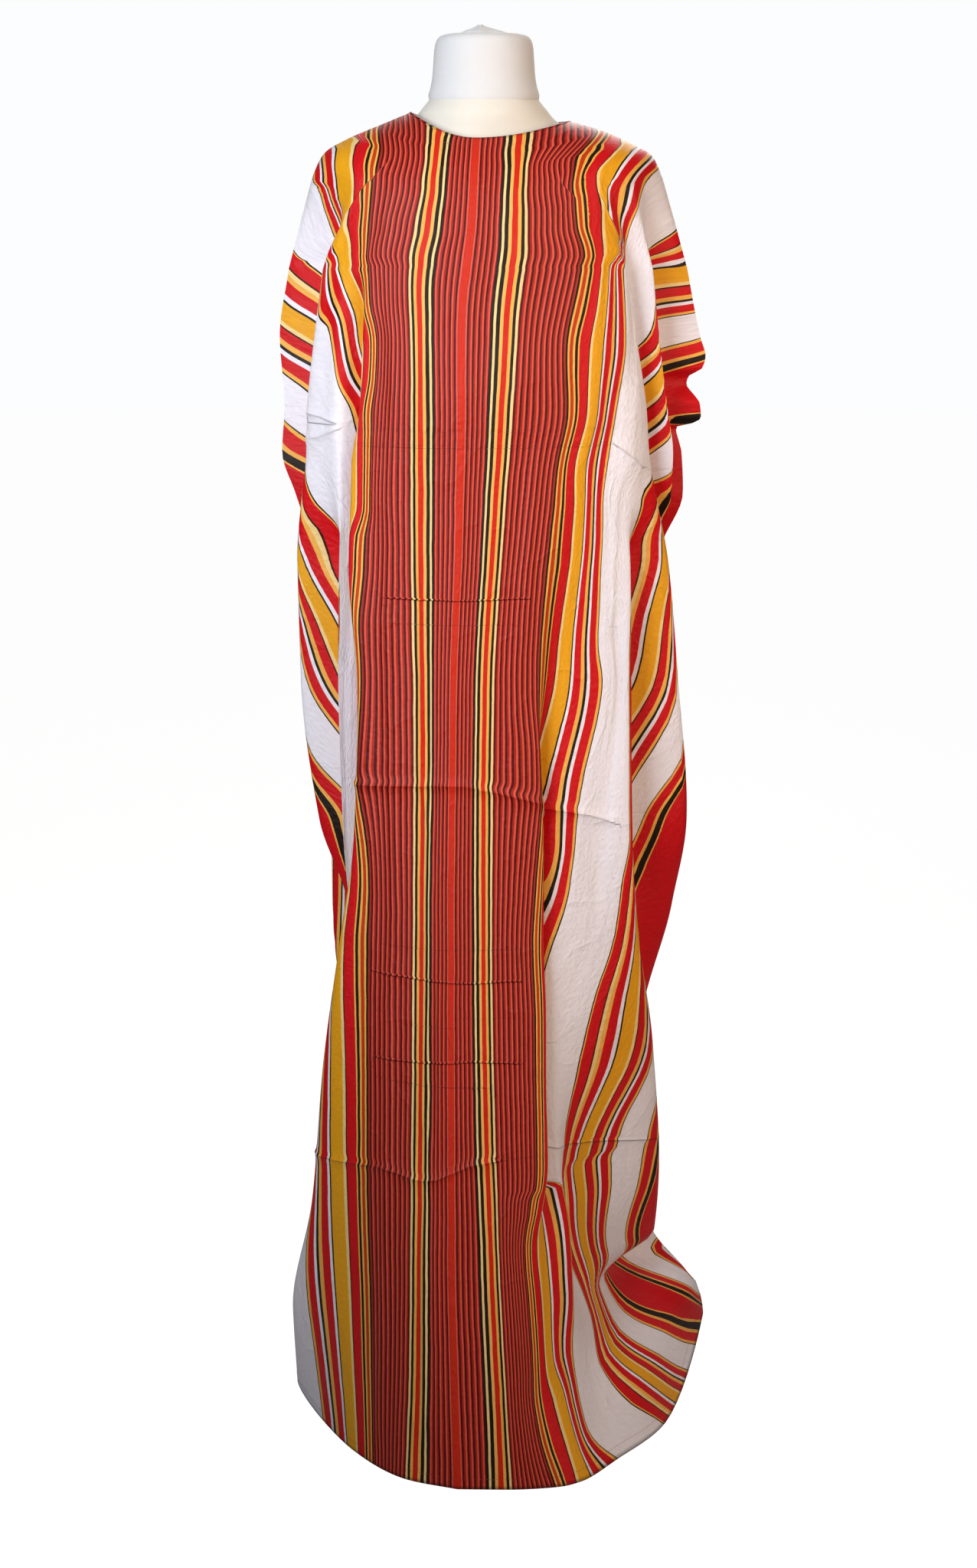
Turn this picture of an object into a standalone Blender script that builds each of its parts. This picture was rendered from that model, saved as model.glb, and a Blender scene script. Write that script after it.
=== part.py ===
"""Baati dress on a limbless dress form, in metres, +Z up, seen from -Y.

The dress is one long striped cloth folded over the shoulders, cut as a front panel and a back
panel with grown-on sleeves. Each panel is a thin wall. Its shape comes from fold lines: every
fold line runs down the cloth, and a row of its table gives where it lies at one level.
The origin is the centre of the stand's base, on the surface that it stands on.
"""

import bmesh
import bpy
import numpy as np

# Driving sizes of the dress
WALL = 0.002
SEAM_GAP = 0.0003
CUFF_OPEN = 0.010
MITRE_LIMIT = 1.35
STRIPE_WEIGHT = 0.15
YOKE_POWER = 2.2
BACK_NECK_LIFT = 0.016
BACK_NECK_FROM = 1.430

# Driving sizes of the dress form and its stand
SHOULDER_DROP = 0.0031
NECK_RADIUS = 0.0535
NECK_SEAM = 1.521
NECK_TOP = 1.588
NECK_ROUNDING = 0.011
KNOB_RADIUS = 0.0165
KNOB_HEIGHT = 0.010
TORSO_BOTTOM = 0.760
POLE_RADIUS = 0.0125
BASE_RADIUS = 0.135
BASE_HEIGHT = 0.012
FIT_GAP = 0.0003
ROUND_SIDES = 40

# Levels of the panels' rows, from the hem to the neckline. Below CHEST a level is a height.
CHEST = 1.345
LEVELS = (
    0.0, 0.05, 0.095, 0.14, 0.205, 0.28, 0.37, 0.46, 0.54, 0.62, 0.675, 0.73, 0.81, 0.90, 0.965,
    1.03, 1.065, 1.10, 1.145, 1.20, 1.27, 1.308, 1.345, 1.380, 1.405, 1.428, 1.448, 1.465, 1.479,
)
BACK_COLUMNS = 47

# Fold lines. Columns: level, x, y (to the back), cloth from the centre stripe.
# The number beside a name is how many grid columns reach to the next fold line.
CENTRE_LINE = (
    (1.345, -0.014, -0.125, 0.0), (1.20, -0.022, -0.145, 0.0), (1.10, -0.0255, -0.146, 0.0),
    (0.90, -0.033, -0.150, 0.0), (0.62, -0.0365, -0.170, 0.0), (0.28, -0.0368, -0.207, 0.0),
    (0.12, -0.0338, -0.226, 0.0), (0.0, -0.0305, -0.238, 0.0),
)
LEFT_FOLDS = (
    ("centre", 2, CENTRE_LINE),
    ("pinstripe middle", 2, (
        (1.345, -0.071, -0.119, 0.058), (1.20, -0.074, -0.136, 0.058),
        (1.10, -0.0745, -0.137, 0.058), (0.90, -0.073, -0.142, 0.058),
        (0.62, -0.0755, -0.160, 0.058), (0.28, -0.080, -0.192, 0.058),
        (0.12, -0.084, -0.206, 0.060), (0.0, -0.0885, -0.217, 0.060))),
    ("pinstripe side", 2, (
        (1.345, -0.103, -0.110, 0.093), (1.20, -0.108, -0.122, 0.095),
        (1.10, -0.112, -0.124, 0.100), (0.90, -0.110, -0.130, 0.092),
        (0.73, -0.112, -0.138, 0.093), (0.46, -0.135, -0.142, 0.122),
        (0.28, -0.146, -0.142, 0.135), (0.12, -0.152, -0.146, 0.148),
        (0.0, -0.155, -0.150, 0.160))),
    ("pleat crest", 2, (
        (1.345, -0.124, -0.101, 0.120), (1.27, -0.128, -0.107, 0.128),
        (1.20, -0.132, -0.111, 0.140), (1.145, -0.141, -0.112, 0.172),
        (1.10, -0.143, -0.112, 0.178), (1.03, -0.146, -0.113, 0.160),
        (0.90, -0.138, -0.118, 0.118), (0.73, -0.1443, -0.120, 0.121),
        (0.62, -0.1605, -0.115, 0.152), (0.46, -0.184, -0.098, 0.193),
        (0.28, -0.202, -0.070, 0.213), (0.12, -0.231, -0.030, 0.262),
        (0.0, -0.232, 0.020, 0.288))),
    ("pleat root", 2, (
        (1.345, -0.136, -0.093, 0.143), (1.27, -0.120, -0.086, 0.155),
        (1.20, -0.118, -0.086, 0.178), (1.145, -0.125, -0.088, 0.200),
        (1.10, -0.126, -0.088, 0.205), (1.03, -0.127, -0.088, 0.190),
        (0.90, -0.118, -0.090, 0.165), (0.73, -0.124, -0.092, 0.170),
        (0.62, -0.140, -0.090, 0.200), (0.46, -0.160, -0.070, 0.240),
        (0.28, -0.178, -0.040, 0.265), (0.12, -0.205, 0.000, 0.302),
        (0.0, -0.208, 0.050, 0.330))),
    ("white crest", 2, (
        (1.345, -0.148, -0.084, 0.165), (1.27, -0.150, -0.091, 0.188),
        (1.20, -0.153, -0.097, 0.218), (1.145, -0.153, -0.101, 0.230),
        (1.10, -0.154, -0.101, 0.245), (1.03, -0.157, -0.099, 0.275),
        (0.90, -0.160, -0.098, 0.280), (0.73, -0.157, -0.098, 0.285),
        (0.62, -0.153, -0.072, 0.300), (0.46, -0.171, -0.045, 0.335),
        (0.28, -0.188, -0.012, 0.350), (0.12, -0.214, 0.032, 0.365),
        (0.0, -0.218, 0.085, 0.385))),
    ("white root", 2, (
        (1.345, -0.160, -0.073, 0.187), (1.27, -0.168, -0.076, 0.207),
        (1.20, -0.172, -0.080, 0.240), (1.145, -0.172, -0.082, 0.255),
        (1.10, -0.168, -0.080, 0.272), (1.03, -0.145, -0.068, 0.305),
        (0.90, -0.138, -0.062, 0.335), (0.73, -0.138, -0.062, 0.400),
        (0.62, -0.140, -0.046, 0.400), (0.46, -0.152, -0.018, 0.390),
        (0.28, -0.168, 0.018, 0.395), (0.12, -0.192, 0.062, 0.405),
        (0.0, -0.195, 0.112, 0.425))),
    ("front fold", 2, (
        (1.345, -0.172, -0.060, 0.207), (1.27, -0.183, -0.058, 0.225),
        (1.20, -0.1915, -0.055, 0.258), (1.145, -0.194, -0.053, 0.283),
        (1.10, -0.200, -0.052, 0.307), (1.03, -0.2065, -0.046, 0.343),
        (0.90, -0.2057, -0.040, 0.412), (0.73, -0.188, -0.034, 0.495),
        (0.62, -0.158, -0.022, 0.486), (0.46, -0.172, 0.012, 0.430),
        (0.28, -0.184, 0.048, 0.430), (0.12, -0.203, 0.092, 0.440),
        (0.0, -0.208, 0.140, 0.455))),
    ("sleeve root", 4, (
        (1.345, -0.158, -0.040, 0.245), (1.27, -0.162, -0.034, 0.290),
        (1.20, -0.164, -0.030, 0.335), (1.145, -0.168, -0.028, 0.375),
        (1.10, -0.172, -0.026, 0.405), (1.03, -0.180, -0.020, 0.420),
        (0.90, -0.180, -0.012, 0.455), (0.73, -0.170, -0.012, 0.497),
        (0.62, -0.150, 0.000, 0.493), (0.46, -0.156, 0.038, 0.465),
        (0.28, -0.166, 0.075, 0.465), (0.12, -0.186, 0.118, 0.470),
        (0.0, -0.190, 0.165, 0.478))),
    ("outer edge", 0, (
        (1.345, -0.2125, -0.005, 0.300), (1.27, -0.224, -0.008, 0.365),
        (1.20, -0.220, -0.010, 0.430), (1.145, -0.2236, -0.012, 0.475),
        (1.10, -0.210, -0.010, 0.500), (1.03, -0.192, 0.008, 0.500),
        (0.90, -0.186, 0.018, 0.500), (0.73, -0.163, 0.012, 0.500),
        (0.62, -0.163, 0.025, 0.500), (0.46, -0.172, 0.064, 0.500),
        (0.28, -0.182, 0.102, 0.500), (0.12, -0.200, 0.146, 0.500),
        (0.0, -0.204, 0.192, 0.500))),
)
RIGHT_FOLDS = (
    ("centre", 2, CENTRE_LINE),
    ("pinstripe middle", 2, (
        (1.345, 0.032, -0.122, 0.058), (1.20, 0.027, -0.142, 0.058),
        (1.10, 0.020, -0.143, 0.058), (0.90, 0.008, -0.148, 0.058),
        (0.62, 0.006, -0.168, 0.058), (0.28, 0.014, -0.206, 0.058),
        (0.12, 0.022, -0.227, 0.058), (0.0, 0.028, -0.239, 0.058))),
    ("pinstripe edge", 2, (
        (1.345, 0.096, -0.113, 0.116), (1.27, 0.086, -0.124, 0.116),
        (1.20, 0.089, -0.130, 0.118), (1.145, 0.080, -0.133, 0.117),
        (1.10, 0.0742, -0.135, 0.117), (0.90, 0.0596, -0.140, 0.117),
        (0.73, 0.057, -0.148, 0.117), (0.62, 0.0516, -0.155, 0.117),
        (0.46, 0.046, -0.172, 0.117), (0.28, 0.056, -0.192, 0.117),
        (0.12, 0.064, -0.212, 0.117), (0.0, 0.085, -0.233, 0.116))),
    ("pleat root", 2, (
        (1.345, 0.120, -0.103, 0.145), (1.27, 0.114, -0.113, 0.147),
        (1.20, 0.113, -0.119, 0.148), (1.145, 0.104, -0.123, 0.147),
        (1.10, 0.098, -0.125, 0.146), (1.03, 0.086, -0.126, 0.143),
        (0.90, 0.068, -0.124, 0.150), (0.73, 0.046, -0.122, 0.168),
        (0.62, 0.040, -0.126, 0.168), (0.46, 0.036, -0.142, 0.160),
        (0.28, 0.068, -0.176, 0.140), (0.12, 0.082, -0.195, 0.142),
        (0.0, 0.110, -0.222, 0.142))),
    ("group edge", 1, (
        (1.345, 0.147, -0.086, 0.212), (1.27, 0.1516, -0.091, 0.213),
        (1.20, 0.142, -0.101, 0.213), (1.145, 0.133, -0.107, 0.213),
        (1.10, 0.128, -0.110, 0.213), (1.03, 0.127, -0.110, 0.213),
        (0.90, 0.110, -0.114, 0.213), (0.73, 0.0716, -0.130, 0.213),
        (0.62, 0.068, -0.138, 0.213), (0.46, 0.0697, -0.150, 0.213),
        (0.28, 0.0975, -0.156, 0.213), (0.14, 0.107, -0.158, 0.213),
        (0.05, 0.128, -0.165, 0.213), (0.0, 0.155, -0.172, 0.213))),
    ("white middle", 2, (
        (1.345, 0.149, -0.084, 0.2145), (1.27, 0.155, -0.087, 0.220),
        (1.20, 0.153, -0.096, 0.226), (1.145, 0.147, -0.102, 0.230),
        (1.10, 0.142, -0.105, 0.238), (1.03, 0.143, -0.105, 0.243),
        (0.90, 0.136, -0.107, 0.243), (0.73, 0.118, -0.117, 0.240),
        (0.62, 0.128, -0.115, 0.275), (0.46, 0.104, -0.128, 0.285),
        (0.28, 0.086, -0.120, 0.262), (0.14, 0.122, -0.085, 0.285),
        (0.05, 0.190, -0.095, 0.275), (0.0, 0.216, -0.090, 0.285))),
    ("white crest", 2, (
        (1.345, 0.1505, -0.082, 0.217), (1.27, 0.158, -0.083, 0.228),
        (1.20, 0.162, -0.090, 0.238), (1.145, 0.161, -0.095, 0.248),
        (1.10, 0.155, -0.099, 0.268), (1.03, 0.159, -0.098, 0.278),
        (0.90, 0.1618, -0.098, 0.272), (0.73, 0.1654, -0.103, 0.265),
        (0.62, 0.174, -0.085, 0.345), (0.46, 0.197, -0.042, 0.385),
        (0.28, 0.206, -0.010, 0.475), (0.14, 0.152, 0.055, 0.440),
        (0.05, 0.245, 0.110, 0.450), (0.0, 0.282, 0.170, 0.455))),
    ("white root", 2, (
        (1.345, 0.1515, -0.080, 0.2195), (1.27, 0.161, -0.079, 0.236),
        (1.20, 0.170, -0.082, 0.249), (1.145, 0.172, -0.084, 0.266),
        (1.10, 0.171, -0.084, 0.286), (1.03, 0.150, -0.078, 0.300),
        (0.90, 0.142, -0.070, 0.330), (0.73, 0.140, -0.068, 0.360),
        (0.62, 0.155, -0.052, 0.430), (0.46, 0.176, -0.018, 0.420),
        (0.28, 0.192, 0.016, 0.482), (0.14, 0.150, 0.078, 0.460),
        (0.05, 0.245, 0.138, 0.468), (0.0, 0.287, 0.200, 0.470))),
    ("front fold", 2, (
        (1.345, 0.1525, -0.078, 0.222), (1.27, 0.164, -0.075, 0.245),
        (1.20, 0.1754, -0.070, 0.258), (1.145, 0.180, -0.066, 0.280),
        (1.10, 0.189, -0.062, 0.302), (1.03, 0.2033, -0.052, 0.342),
        (0.90, 0.217, -0.045, 0.412), (0.73, 0.2316, -0.030, 0.497),
        (0.62, 0.219, 0.000, 0.494), (0.46, 0.186, 0.012, 0.450),
        (0.28, 0.190, 0.040, 0.487), (0.14, 0.148, 0.100, 0.475),
        (0.05, 0.240, 0.160, 0.480), (0.0, 0.288, 0.228, 0.485))),
    ("sleeve root", 2, (
        (1.345, 0.157, -0.060, 0.238), (1.27, 0.156, -0.052, 0.270),
        (1.20, 0.162, -0.046, 0.310), (1.145, 0.166, -0.042, 0.370),
        (1.10, 0.170, -0.038, 0.410), (1.03, 0.178, -0.028, 0.420),
        (0.90, 0.192, -0.020, 0.450), (0.73, 0.226, -0.012, 0.498),
        (0.62, 0.214, 0.014, 0.4955), (0.46, 0.176, 0.034, 0.465),
        (0.28, 0.178, 0.058, 0.491), (0.14, 0.142, 0.120, 0.485),
        (0.05, 0.232, 0.180, 0.487), (0.0, 0.286, 0.248, 0.489))),
    ("sleeve crest", 2, (
        (1.345, 0.181, -0.055, 0.278), (1.27, 0.1896, -0.052, 0.305),
        (1.20, 0.199, -0.050, 0.370), (1.145, 0.207, -0.046, 0.440),
        (1.10, 0.206, -0.038, 0.480), (1.03, 0.192, -0.014, 0.460),
        (0.90, 0.198, 0.000, 0.475), (0.73, 0.221, 0.000, 0.4985),
        (0.62, 0.209, 0.026, 0.497), (0.46, 0.180, 0.052, 0.480),
        (0.28, 0.182, 0.074, 0.494), (0.14, 0.146, 0.136, 0.490),
        (0.05, 0.234, 0.196, 0.492), (0.0, 0.284, 0.262, 0.493))),
    ("sleeve valley", 2, (
        (1.345, 0.180, -0.032, 0.305), (1.27, 0.180, -0.022, 0.365),
        (1.20, 0.182, -0.018, 0.415), (1.145, 0.188, -0.016, 0.465),
        (1.10, 0.193, -0.014, 0.488), (1.03, 0.185, 0.004, 0.485),
        (0.90, 0.188, 0.014, 0.487), (0.73, 0.217, 0.011, 0.499),
        (0.62, 0.204, 0.037, 0.4985), (0.46, 0.172, 0.068, 0.490),
        (0.28, 0.174, 0.090, 0.497), (0.14, 0.142, 0.150, 0.495),
        (0.05, 0.228, 0.210, 0.496), (0.0, 0.280, 0.276, 0.4965))),
    ("outer edge", 0, (
        (1.345, 0.2217, -0.002, 0.334), (1.27, 0.238, -0.002, 0.428),
        (1.20, 0.238, -0.004, 0.492), (1.145, 0.216, -0.004, 0.497),
        (1.10, 0.222, -0.004, 0.500), (1.03, 0.200, 0.018, 0.500),
        (0.90, 0.200, 0.028, 0.500), (0.73, 0.213, 0.022, 0.500),
        (0.62, 0.199, 0.048, 0.500), (0.46, 0.178, 0.084, 0.500),
        (0.28, 0.180, 0.106, 0.500), (0.14, 0.150, 0.164, 0.500),
        (0.05, 0.232, 0.224, 0.500), (0.0, 0.278, 0.290, 0.500))),
)

# The yoke, from the chest to the neckline. Columns: level; shoulder line on the left x, height,
# cloth; on the right x, height, cloth; x of the centre stripe, y at its front, y at the back.
YOKE = (
    (1.479, -0.079, 1.508, 0.072, 0.0925, 1.499, 0.098, -0.008, -0.078, 0.070),
    (1.465, -0.109, 1.496, 0.100, 0.1220, 1.491, 0.124, -0.009, -0.090, 0.082),
    (1.448, -0.146, 1.481, 0.137, 0.1580, 1.476, 0.163, -0.010, -0.100, 0.092),
    (1.428, -0.172, 1.466, 0.172, 0.1810, 1.4635, 0.192, -0.011, -0.108, 0.100),
    (1.405, -0.183, 1.447, 0.215, 0.1900, 1.448, 0.213, -0.012, -0.114, 0.107),
    (1.380, -0.195, 1.408, 0.252, 0.2030, 1.408, 0.265, -0.013, -0.119, 0.112),
    (1.345, -0.2125, 1.345, 0.300, 0.2217, 1.345, 0.334, -0.014, -0.125, 0.116),
)
YOKE_BLEND_TOP = 1.428

# The back panel's course. Columns: level, how far its left and right edges lie behind the
# front's (the cuffs), x and y at the left blade, y at the centre, x and y at the right blade.
BACK_COURSE = (
    (1.345, 0.000, 0.000, -0.150, 0.092, 0.116, 0.150, 0.094),
    (1.250, 0.000, 0.006, -0.160, 0.105, 0.128, 0.163, 0.108),
    (1.145, 0.010, 0.034, -0.165, 0.112, 0.134, 0.170, 0.115),
    (1.080, 0.034, 0.036, -0.165, 0.116, 0.138, 0.172, 0.118),
    (0.930, 0.000, 0.000, -0.165, 0.122, 0.146, 0.172, 0.124),
    (0.620, 0.000, 0.000, -0.162, 0.142, 0.170, 0.172, 0.146),
    (0.280, 0.000, 0.000, -0.176, 0.178, 0.205, 0.178, 0.180),
    (0.140, 0.000, 0.000, -0.186, 0.205, 0.225, 0.176, 0.215),
    (0.050, 0.000, 0.000, -0.190, 0.225, 0.240, 0.215, 0.250),
    (0.000, 0.000, 0.000, -0.192, 0.240, 0.250, 0.235, 0.290),
)
# Hanging folds of the back. Columns: place along the course from left to right, half width in
# the same share, and depth outwards at the chest, the hip and the hem.
BACK_FOLDS = (
    (0.10, 0.034, 0.000, -0.012, -0.014),
    (0.21, 0.036, 0.002, 0.024, 0.028),
    (0.32, 0.036, -0.003, -0.032, -0.036),
    (0.42, 0.034, 0.006, 0.036, 0.042),
    (0.51, 0.034, -0.003, -0.034, -0.038),
    (0.60, 0.034, 0.006, 0.038, 0.044),
    (0.70, 0.036, -0.003, -0.032, -0.036),
    (0.80, 0.036, 0.002, 0.024, 0.028),
    (0.90, 0.034, 0.000, -0.012, -0.014),
)
FOLD_DEPTH_LEVELS = (0.0, 0.90, CHEST)
FOLD_END_SHARE = 0.08

# The dress form below the shoulders. Columns: height, half width, y of the front, y of the back.
TORSO_SECTIONS = (
    (1.400, 0.166, -0.092, 0.088),
    (1.340, 0.150, -0.098, 0.092),
    (1.260, 0.142, -0.108, 0.094),
    (1.180, 0.130, -0.100, 0.090),
    (1.080, 0.112, -0.082, 0.080),
    (0.980, 0.120, -0.088, 0.092),
    (0.880, 0.128, -0.092, 0.102),
    (0.800, 0.126, -0.090, 0.100),
    (0.765, 0.118, -0.084, 0.092),
    (TORSO_BOTTOM, 0.110, -0.078, 0.086),
)
# The shoulders under the yoke. Columns: yoke level, how much of the yoke's width the form fills,
# its front and its back.
SHOULDER_FILL = (
    (1.479, 0.90, 0.80, 0.80),
    (1.465, 0.97, 0.80, 0.80),
    (1.448, 0.99, 0.80, 0.80),
    (1.428, 0.965, 0.82, 0.84),
)


def smooth_through(places, values, wanted):
    """Monotone cubic curve through values at rising places, read at the wanted places."""
    places = np.asarray(places, float)
    values = np.asarray(values, float)
    wanted = np.asarray(wanted, float)
    flat = (1,) * (values.ndim - 1)
    step = np.diff(places)
    steep = np.diff(values, axis=0) / step.reshape((-1,) + flat)
    slope = np.zeros_like(values)
    slope[0] = steep[0]
    slope[-1] = steep[-1]
    before = steep[:-1]
    after = steep[1:]
    wide = step.reshape((-1,) + flat)
    heavy = 2 * wide[1:] + wide[:-1]
    light = wide[1:] + 2 * wide[:-1]
    same_way = before * after > 0
    safe_before = np.where(same_way, before, 1.0)
    safe_after = np.where(same_way, after, 1.0)
    mean = (heavy + light) / (heavy / safe_before + light / safe_after)
    slope[1:-1] = np.where(same_way, mean, 0.0)
    index = np.clip(np.searchsorted(places, wanted) - 1, 0, len(places) - 2)
    share = ((wanted - places[index]) / step[index]).reshape(wanted.shape + flat)
    width = step[index].reshape(wanted.shape + flat)
    return (
        (2 * share**3 - 3 * share**2 + 1) * values[index]
        + (share**3 - 2 * share**2 + share) * width * slope[index]
        + (3 * share**2 - 2 * share**3) * values[index + 1]
        + (share**3 - share**2) * width * slope[index + 1]
    )


def read_table(table, levels):
    """The columns of a table whose first column is a falling level, at the wanted levels."""
    rows = np.array(table)[::-1]
    return smooth_through(rows[:, 0], rows[:, 1:], levels)


def ease(share):
    """Smooth step from 0 to 1."""
    share = np.clip(share, 0.0, 1.0)
    return share * share * (3 - 2 * share)


def onto_yoke(points, level, yoke, side, depth):
    """Move a row above the chest onto the yoke's rounded section, one side of the centre."""
    edge_x, edge_height, edge_cloth = yoke[3 * side], yoke[3 * side + 1], yoke[3 * side + 2]
    centre_x = yoke[6]
    share = points[:, 2] / points[-1, 2]
    blend = ease((level - CHEST) / (YOKE_BLEND_TOP - CHEST))
    round_x = centre_x + (edge_x - centre_x) * share
    round_y = depth * np.sqrt(np.clip(1 - share**YOKE_POWER, 0, 1))
    span = points[-1, 0] - points[0, 0]
    hung_x = centre_x + (points[:, 0] - points[0, 0]) * (edge_x - centre_x) / span
    hung_y = points[:, 1] * depth / points[0, 1]
    x = hung_x + (round_x - hung_x) * blend
    y = hung_y + (round_y - hung_y) * blend
    height = level + (edge_height - level) * share**2
    return np.column_stack([x, y, height])


def front_half(folds, side, levels):
    """Points of half the front, from the centre stripe outwards: (levels, columns, 3)."""
    steps = [count for name, count, table in folds[:-1]]
    low = np.minimum(levels, CHEST)
    lines = np.stack([read_table(table, low) for name, count, table in folds], axis=1)
    yoke = read_table(YOKE, np.maximum(levels, CHEST))
    rows = []
    for number, level in enumerate(levels):
        keys = lines[number]
        apart = np.hypot(np.diff(keys[:, 0]), np.diff(keys[:, 1]))
        apart = apart + STRIPE_WEIGHT * np.abs(np.diff(keys[:, 2]))
        places = np.concatenate([[0.0], np.cumsum(np.sqrt(apart))])
        columns = [
            np.linspace(places[i], places[i + 1], steps[i], endpoint=False)
            for i in range(len(steps))
        ]
        columns = np.concatenate(columns + [places[-1:]])
        points = smooth_through(places, keys, columns)
        if level > CHEST:
            rows.append(onto_yoke(points, level, yoke[number], side, yoke[number, 7]))
        else:
            height = np.full(len(columns), level)
            rows.append(np.column_stack([points[:, 0], points[:, 1], height]))
    return np.array(rows)


def back_row(level, left, right, course, yoke):
    """One row of the back panel, from its left edge to its right edge."""
    start = left[:2] + np.array([0.0, course[0]])
    end = right[:2] + np.array([0.0, course[1]])
    left_blade = course[2:4]
    right_blade = course[5:7]
    middle = np.array([(start[0] + end[0]) / 2, course[4]])
    lift = np.array([0.0, 0.006])
    keys = np.array([
        start, 0.45 * start + 0.55 * left_blade + [0.004, -0.004], left_blade,
        (left_blade + middle) / 2 + lift, middle, (right_blade + middle) / 2 + lift,
        right_blade, 0.45 * end + 0.55 * right_blade + [-0.004, -0.004], end,
    ])
    places = np.concatenate([[0.0], np.cumsum(np.hypot(*np.diff(keys, axis=0).T))])
    share = np.linspace(0.0, 1.0, BACK_COLUMNS)
    points = smooth_through(places / places[-1], keys, share)
    along = np.gradient(points, axis=0)
    outward = np.column_stack([-along[:, 1], along[:, 0]])
    outward = outward / np.linalg.norm(outward, axis=1)[:, None]
    depth = np.zeros(BACK_COLUMNS)
    for place, half_width, chest, hip, hem in BACK_FOLDS:
        deep = np.interp(level, FOLD_DEPTH_LEVELS, (hem, hip, chest))
        depth += deep * np.exp(-(((share - place) / half_width) ** 2))
    depth *= ease(np.minimum(share, 1 - share) / FOLD_END_SHARE)
    points = points + outward * depth[:, None]
    if level <= CHEST:
        return np.column_stack([points, np.full(BACK_COLUMNS, level)])
    walked = np.concatenate([[0.0], np.cumsum(np.hypot(*np.diff(points, axis=0).T))])
    across = 2 * walked / walked[-1] - 1
    away = np.abs(across)
    blend = ease((level - CHEST) / (YOKE_BLEND_TOP - CHEST))
    edge_x = np.where(across < 0, yoke[0], yoke[3])
    edge_height = np.where(across < 0, yoke[1], yoke[4])
    round_x = yoke[6] + (edge_x - yoke[6]) * away
    round_y = yoke[8] * np.sqrt(np.clip(1 - away**YOKE_POWER, 0, 1))
    hung_x = yoke[0] + (points[:, 0] - start[0]) * (yoke[3] - yoke[0]) / (end[0] - start[0])
    hung_y = points[:, 1] * yoke[8] / course[4]
    x = hung_x + (round_x - hung_x) * blend
    y = hung_y + (round_y - hung_y) * blend
    neck = BACK_NECK_LIFT * ease((level - BACK_NECK_FROM) / (YOKE[0][0] - BACK_NECK_FROM))
    height = level + neck * (1 - away**2) + (edge_height - level) * away**2
    return np.column_stack([x, y, height])


def back_surface(levels):
    """Points of the back panel: (levels, columns, 3)."""
    low = np.minimum(levels, CHEST)
    left = read_table(LEFT_FOLDS[-1][2], low)
    right = read_table(RIGHT_FOLDS[-1][2], low)
    course = read_table(BACK_COURSE, low)
    yoke = read_table(YOKE, np.maximum(levels, CHEST))
    rows = [
        back_row(level, left[i], right[i], course[i], yoke[i]) for i, level in enumerate(levels)
    ]
    return np.array(rows)


def outward_normals(points, sign):
    """Unit normals of a grid of points, whose rows rise and whose columns go along."""
    along = np.gradient(points, axis=1)
    up = np.gradient(points, axis=0)
    normal = sign * np.cross(along, up)
    return normal / np.linalg.norm(normal, axis=2)[..., None]


def edge_normals(own, other, behind):
    """Mitred normals along an edge that meets the other panel, its own where a cuff is open."""
    both = own + other
    both = both / np.linalg.norm(both, axis=1)[:, None]
    lean = np.clip(np.sum(both * own, axis=1), 1 / MITRE_LIMIT, 1.0)
    open_share = ease(behind / CUFF_OPEN)[:, None]
    return own * open_share + both / lean[:, None] * (1 - open_share)


def wall_points(outer, normal):
    """Inner points of a wall, WALL behind the outer points and level along the hem."""
    normal = normal.copy()
    hem = normal[0].copy()
    hem[:, 2] = 0.0
    normal[0] = hem / np.linalg.norm(hem, axis=1)[:, None]
    return outer - WALL * normal


def closed_wall(name, outer, inner, material):
    """Solid wall between two grids of points, closed along all four edges."""
    rows, columns = outer.shape[:2]
    count = rows * columns
    number = np.arange(count).reshape(rows, columns)
    quads = np.stack([
        number[:-1, :-1], number[:-1, 1:], number[1:, 1:], number[1:, :-1]
    ], axis=2).reshape(-1, 4)
    faces = quads.tolist() + (quads[:, ::-1] + count).tolist()
    rim = np.concatenate([
        number[0, :-1], number[:-1, -1], number[-1, :0:-1], number[:0:-1, 0]
    ])
    after = np.roll(rim, -1)
    faces += np.column_stack([after, rim, rim + count, after + count]).tolist()
    vertices = np.concatenate([outer.reshape(-1, 3), inner.reshape(-1, 3)])
    return mesh_object(name, vertices, faces, material)


def mesh_object(name, vertices, faces, material):
    """Named object with its faces split into triangles and pointing outwards."""
    mesh = bpy.data.meshes.new(name)
    mesh.from_pydata([tuple(point) for point in vertices], [], faces)
    work = bmesh.new()
    work.from_mesh(mesh)
    bmesh.ops.triangulate(work, faces=work.faces)
    bmesh.ops.recalc_face_normals(work, faces=work.faces)
    work.to_mesh(mesh)
    work.free()
    mesh.shade_smooth()
    mesh.materials.append(material)
    thing = bpy.data.objects.new(name, mesh)
    bpy.context.collection.objects.link(thing)
    return thing


def lofted_solid(name, rings, material):
    """Solid through closed rings of points, from the bottom up, capped at both ends."""
    rings = np.asarray(rings)
    count, sides = rings.shape[:2]
    number = np.arange(count * sides).reshape(count, sides)
    beside = np.roll(number, -1, axis=1)
    quads = np.stack([number[:-1], beside[:-1], beside[1:], number[1:]], axis=2)
    faces = quads.reshape(-1, 4).tolist()
    faces += [number[0, ::-1].tolist(), number[-1].tolist()]
    return mesh_object(name, rings.reshape(-1, 3), faces, material)


def plain_material(name, colour, roughness, metallic=0.0):
    """Principled material with one colour."""
    material = bpy.data.materials.new(name)
    material.use_nodes = True
    shader = material.node_tree.nodes["Principled BSDF"]
    shader.inputs["Base Color"].default_value = (*colour, 1.0)
    shader.inputs["Roughness"].default_value = roughness
    shader.inputs["Metallic"].default_value = metallic
    return material


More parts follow.
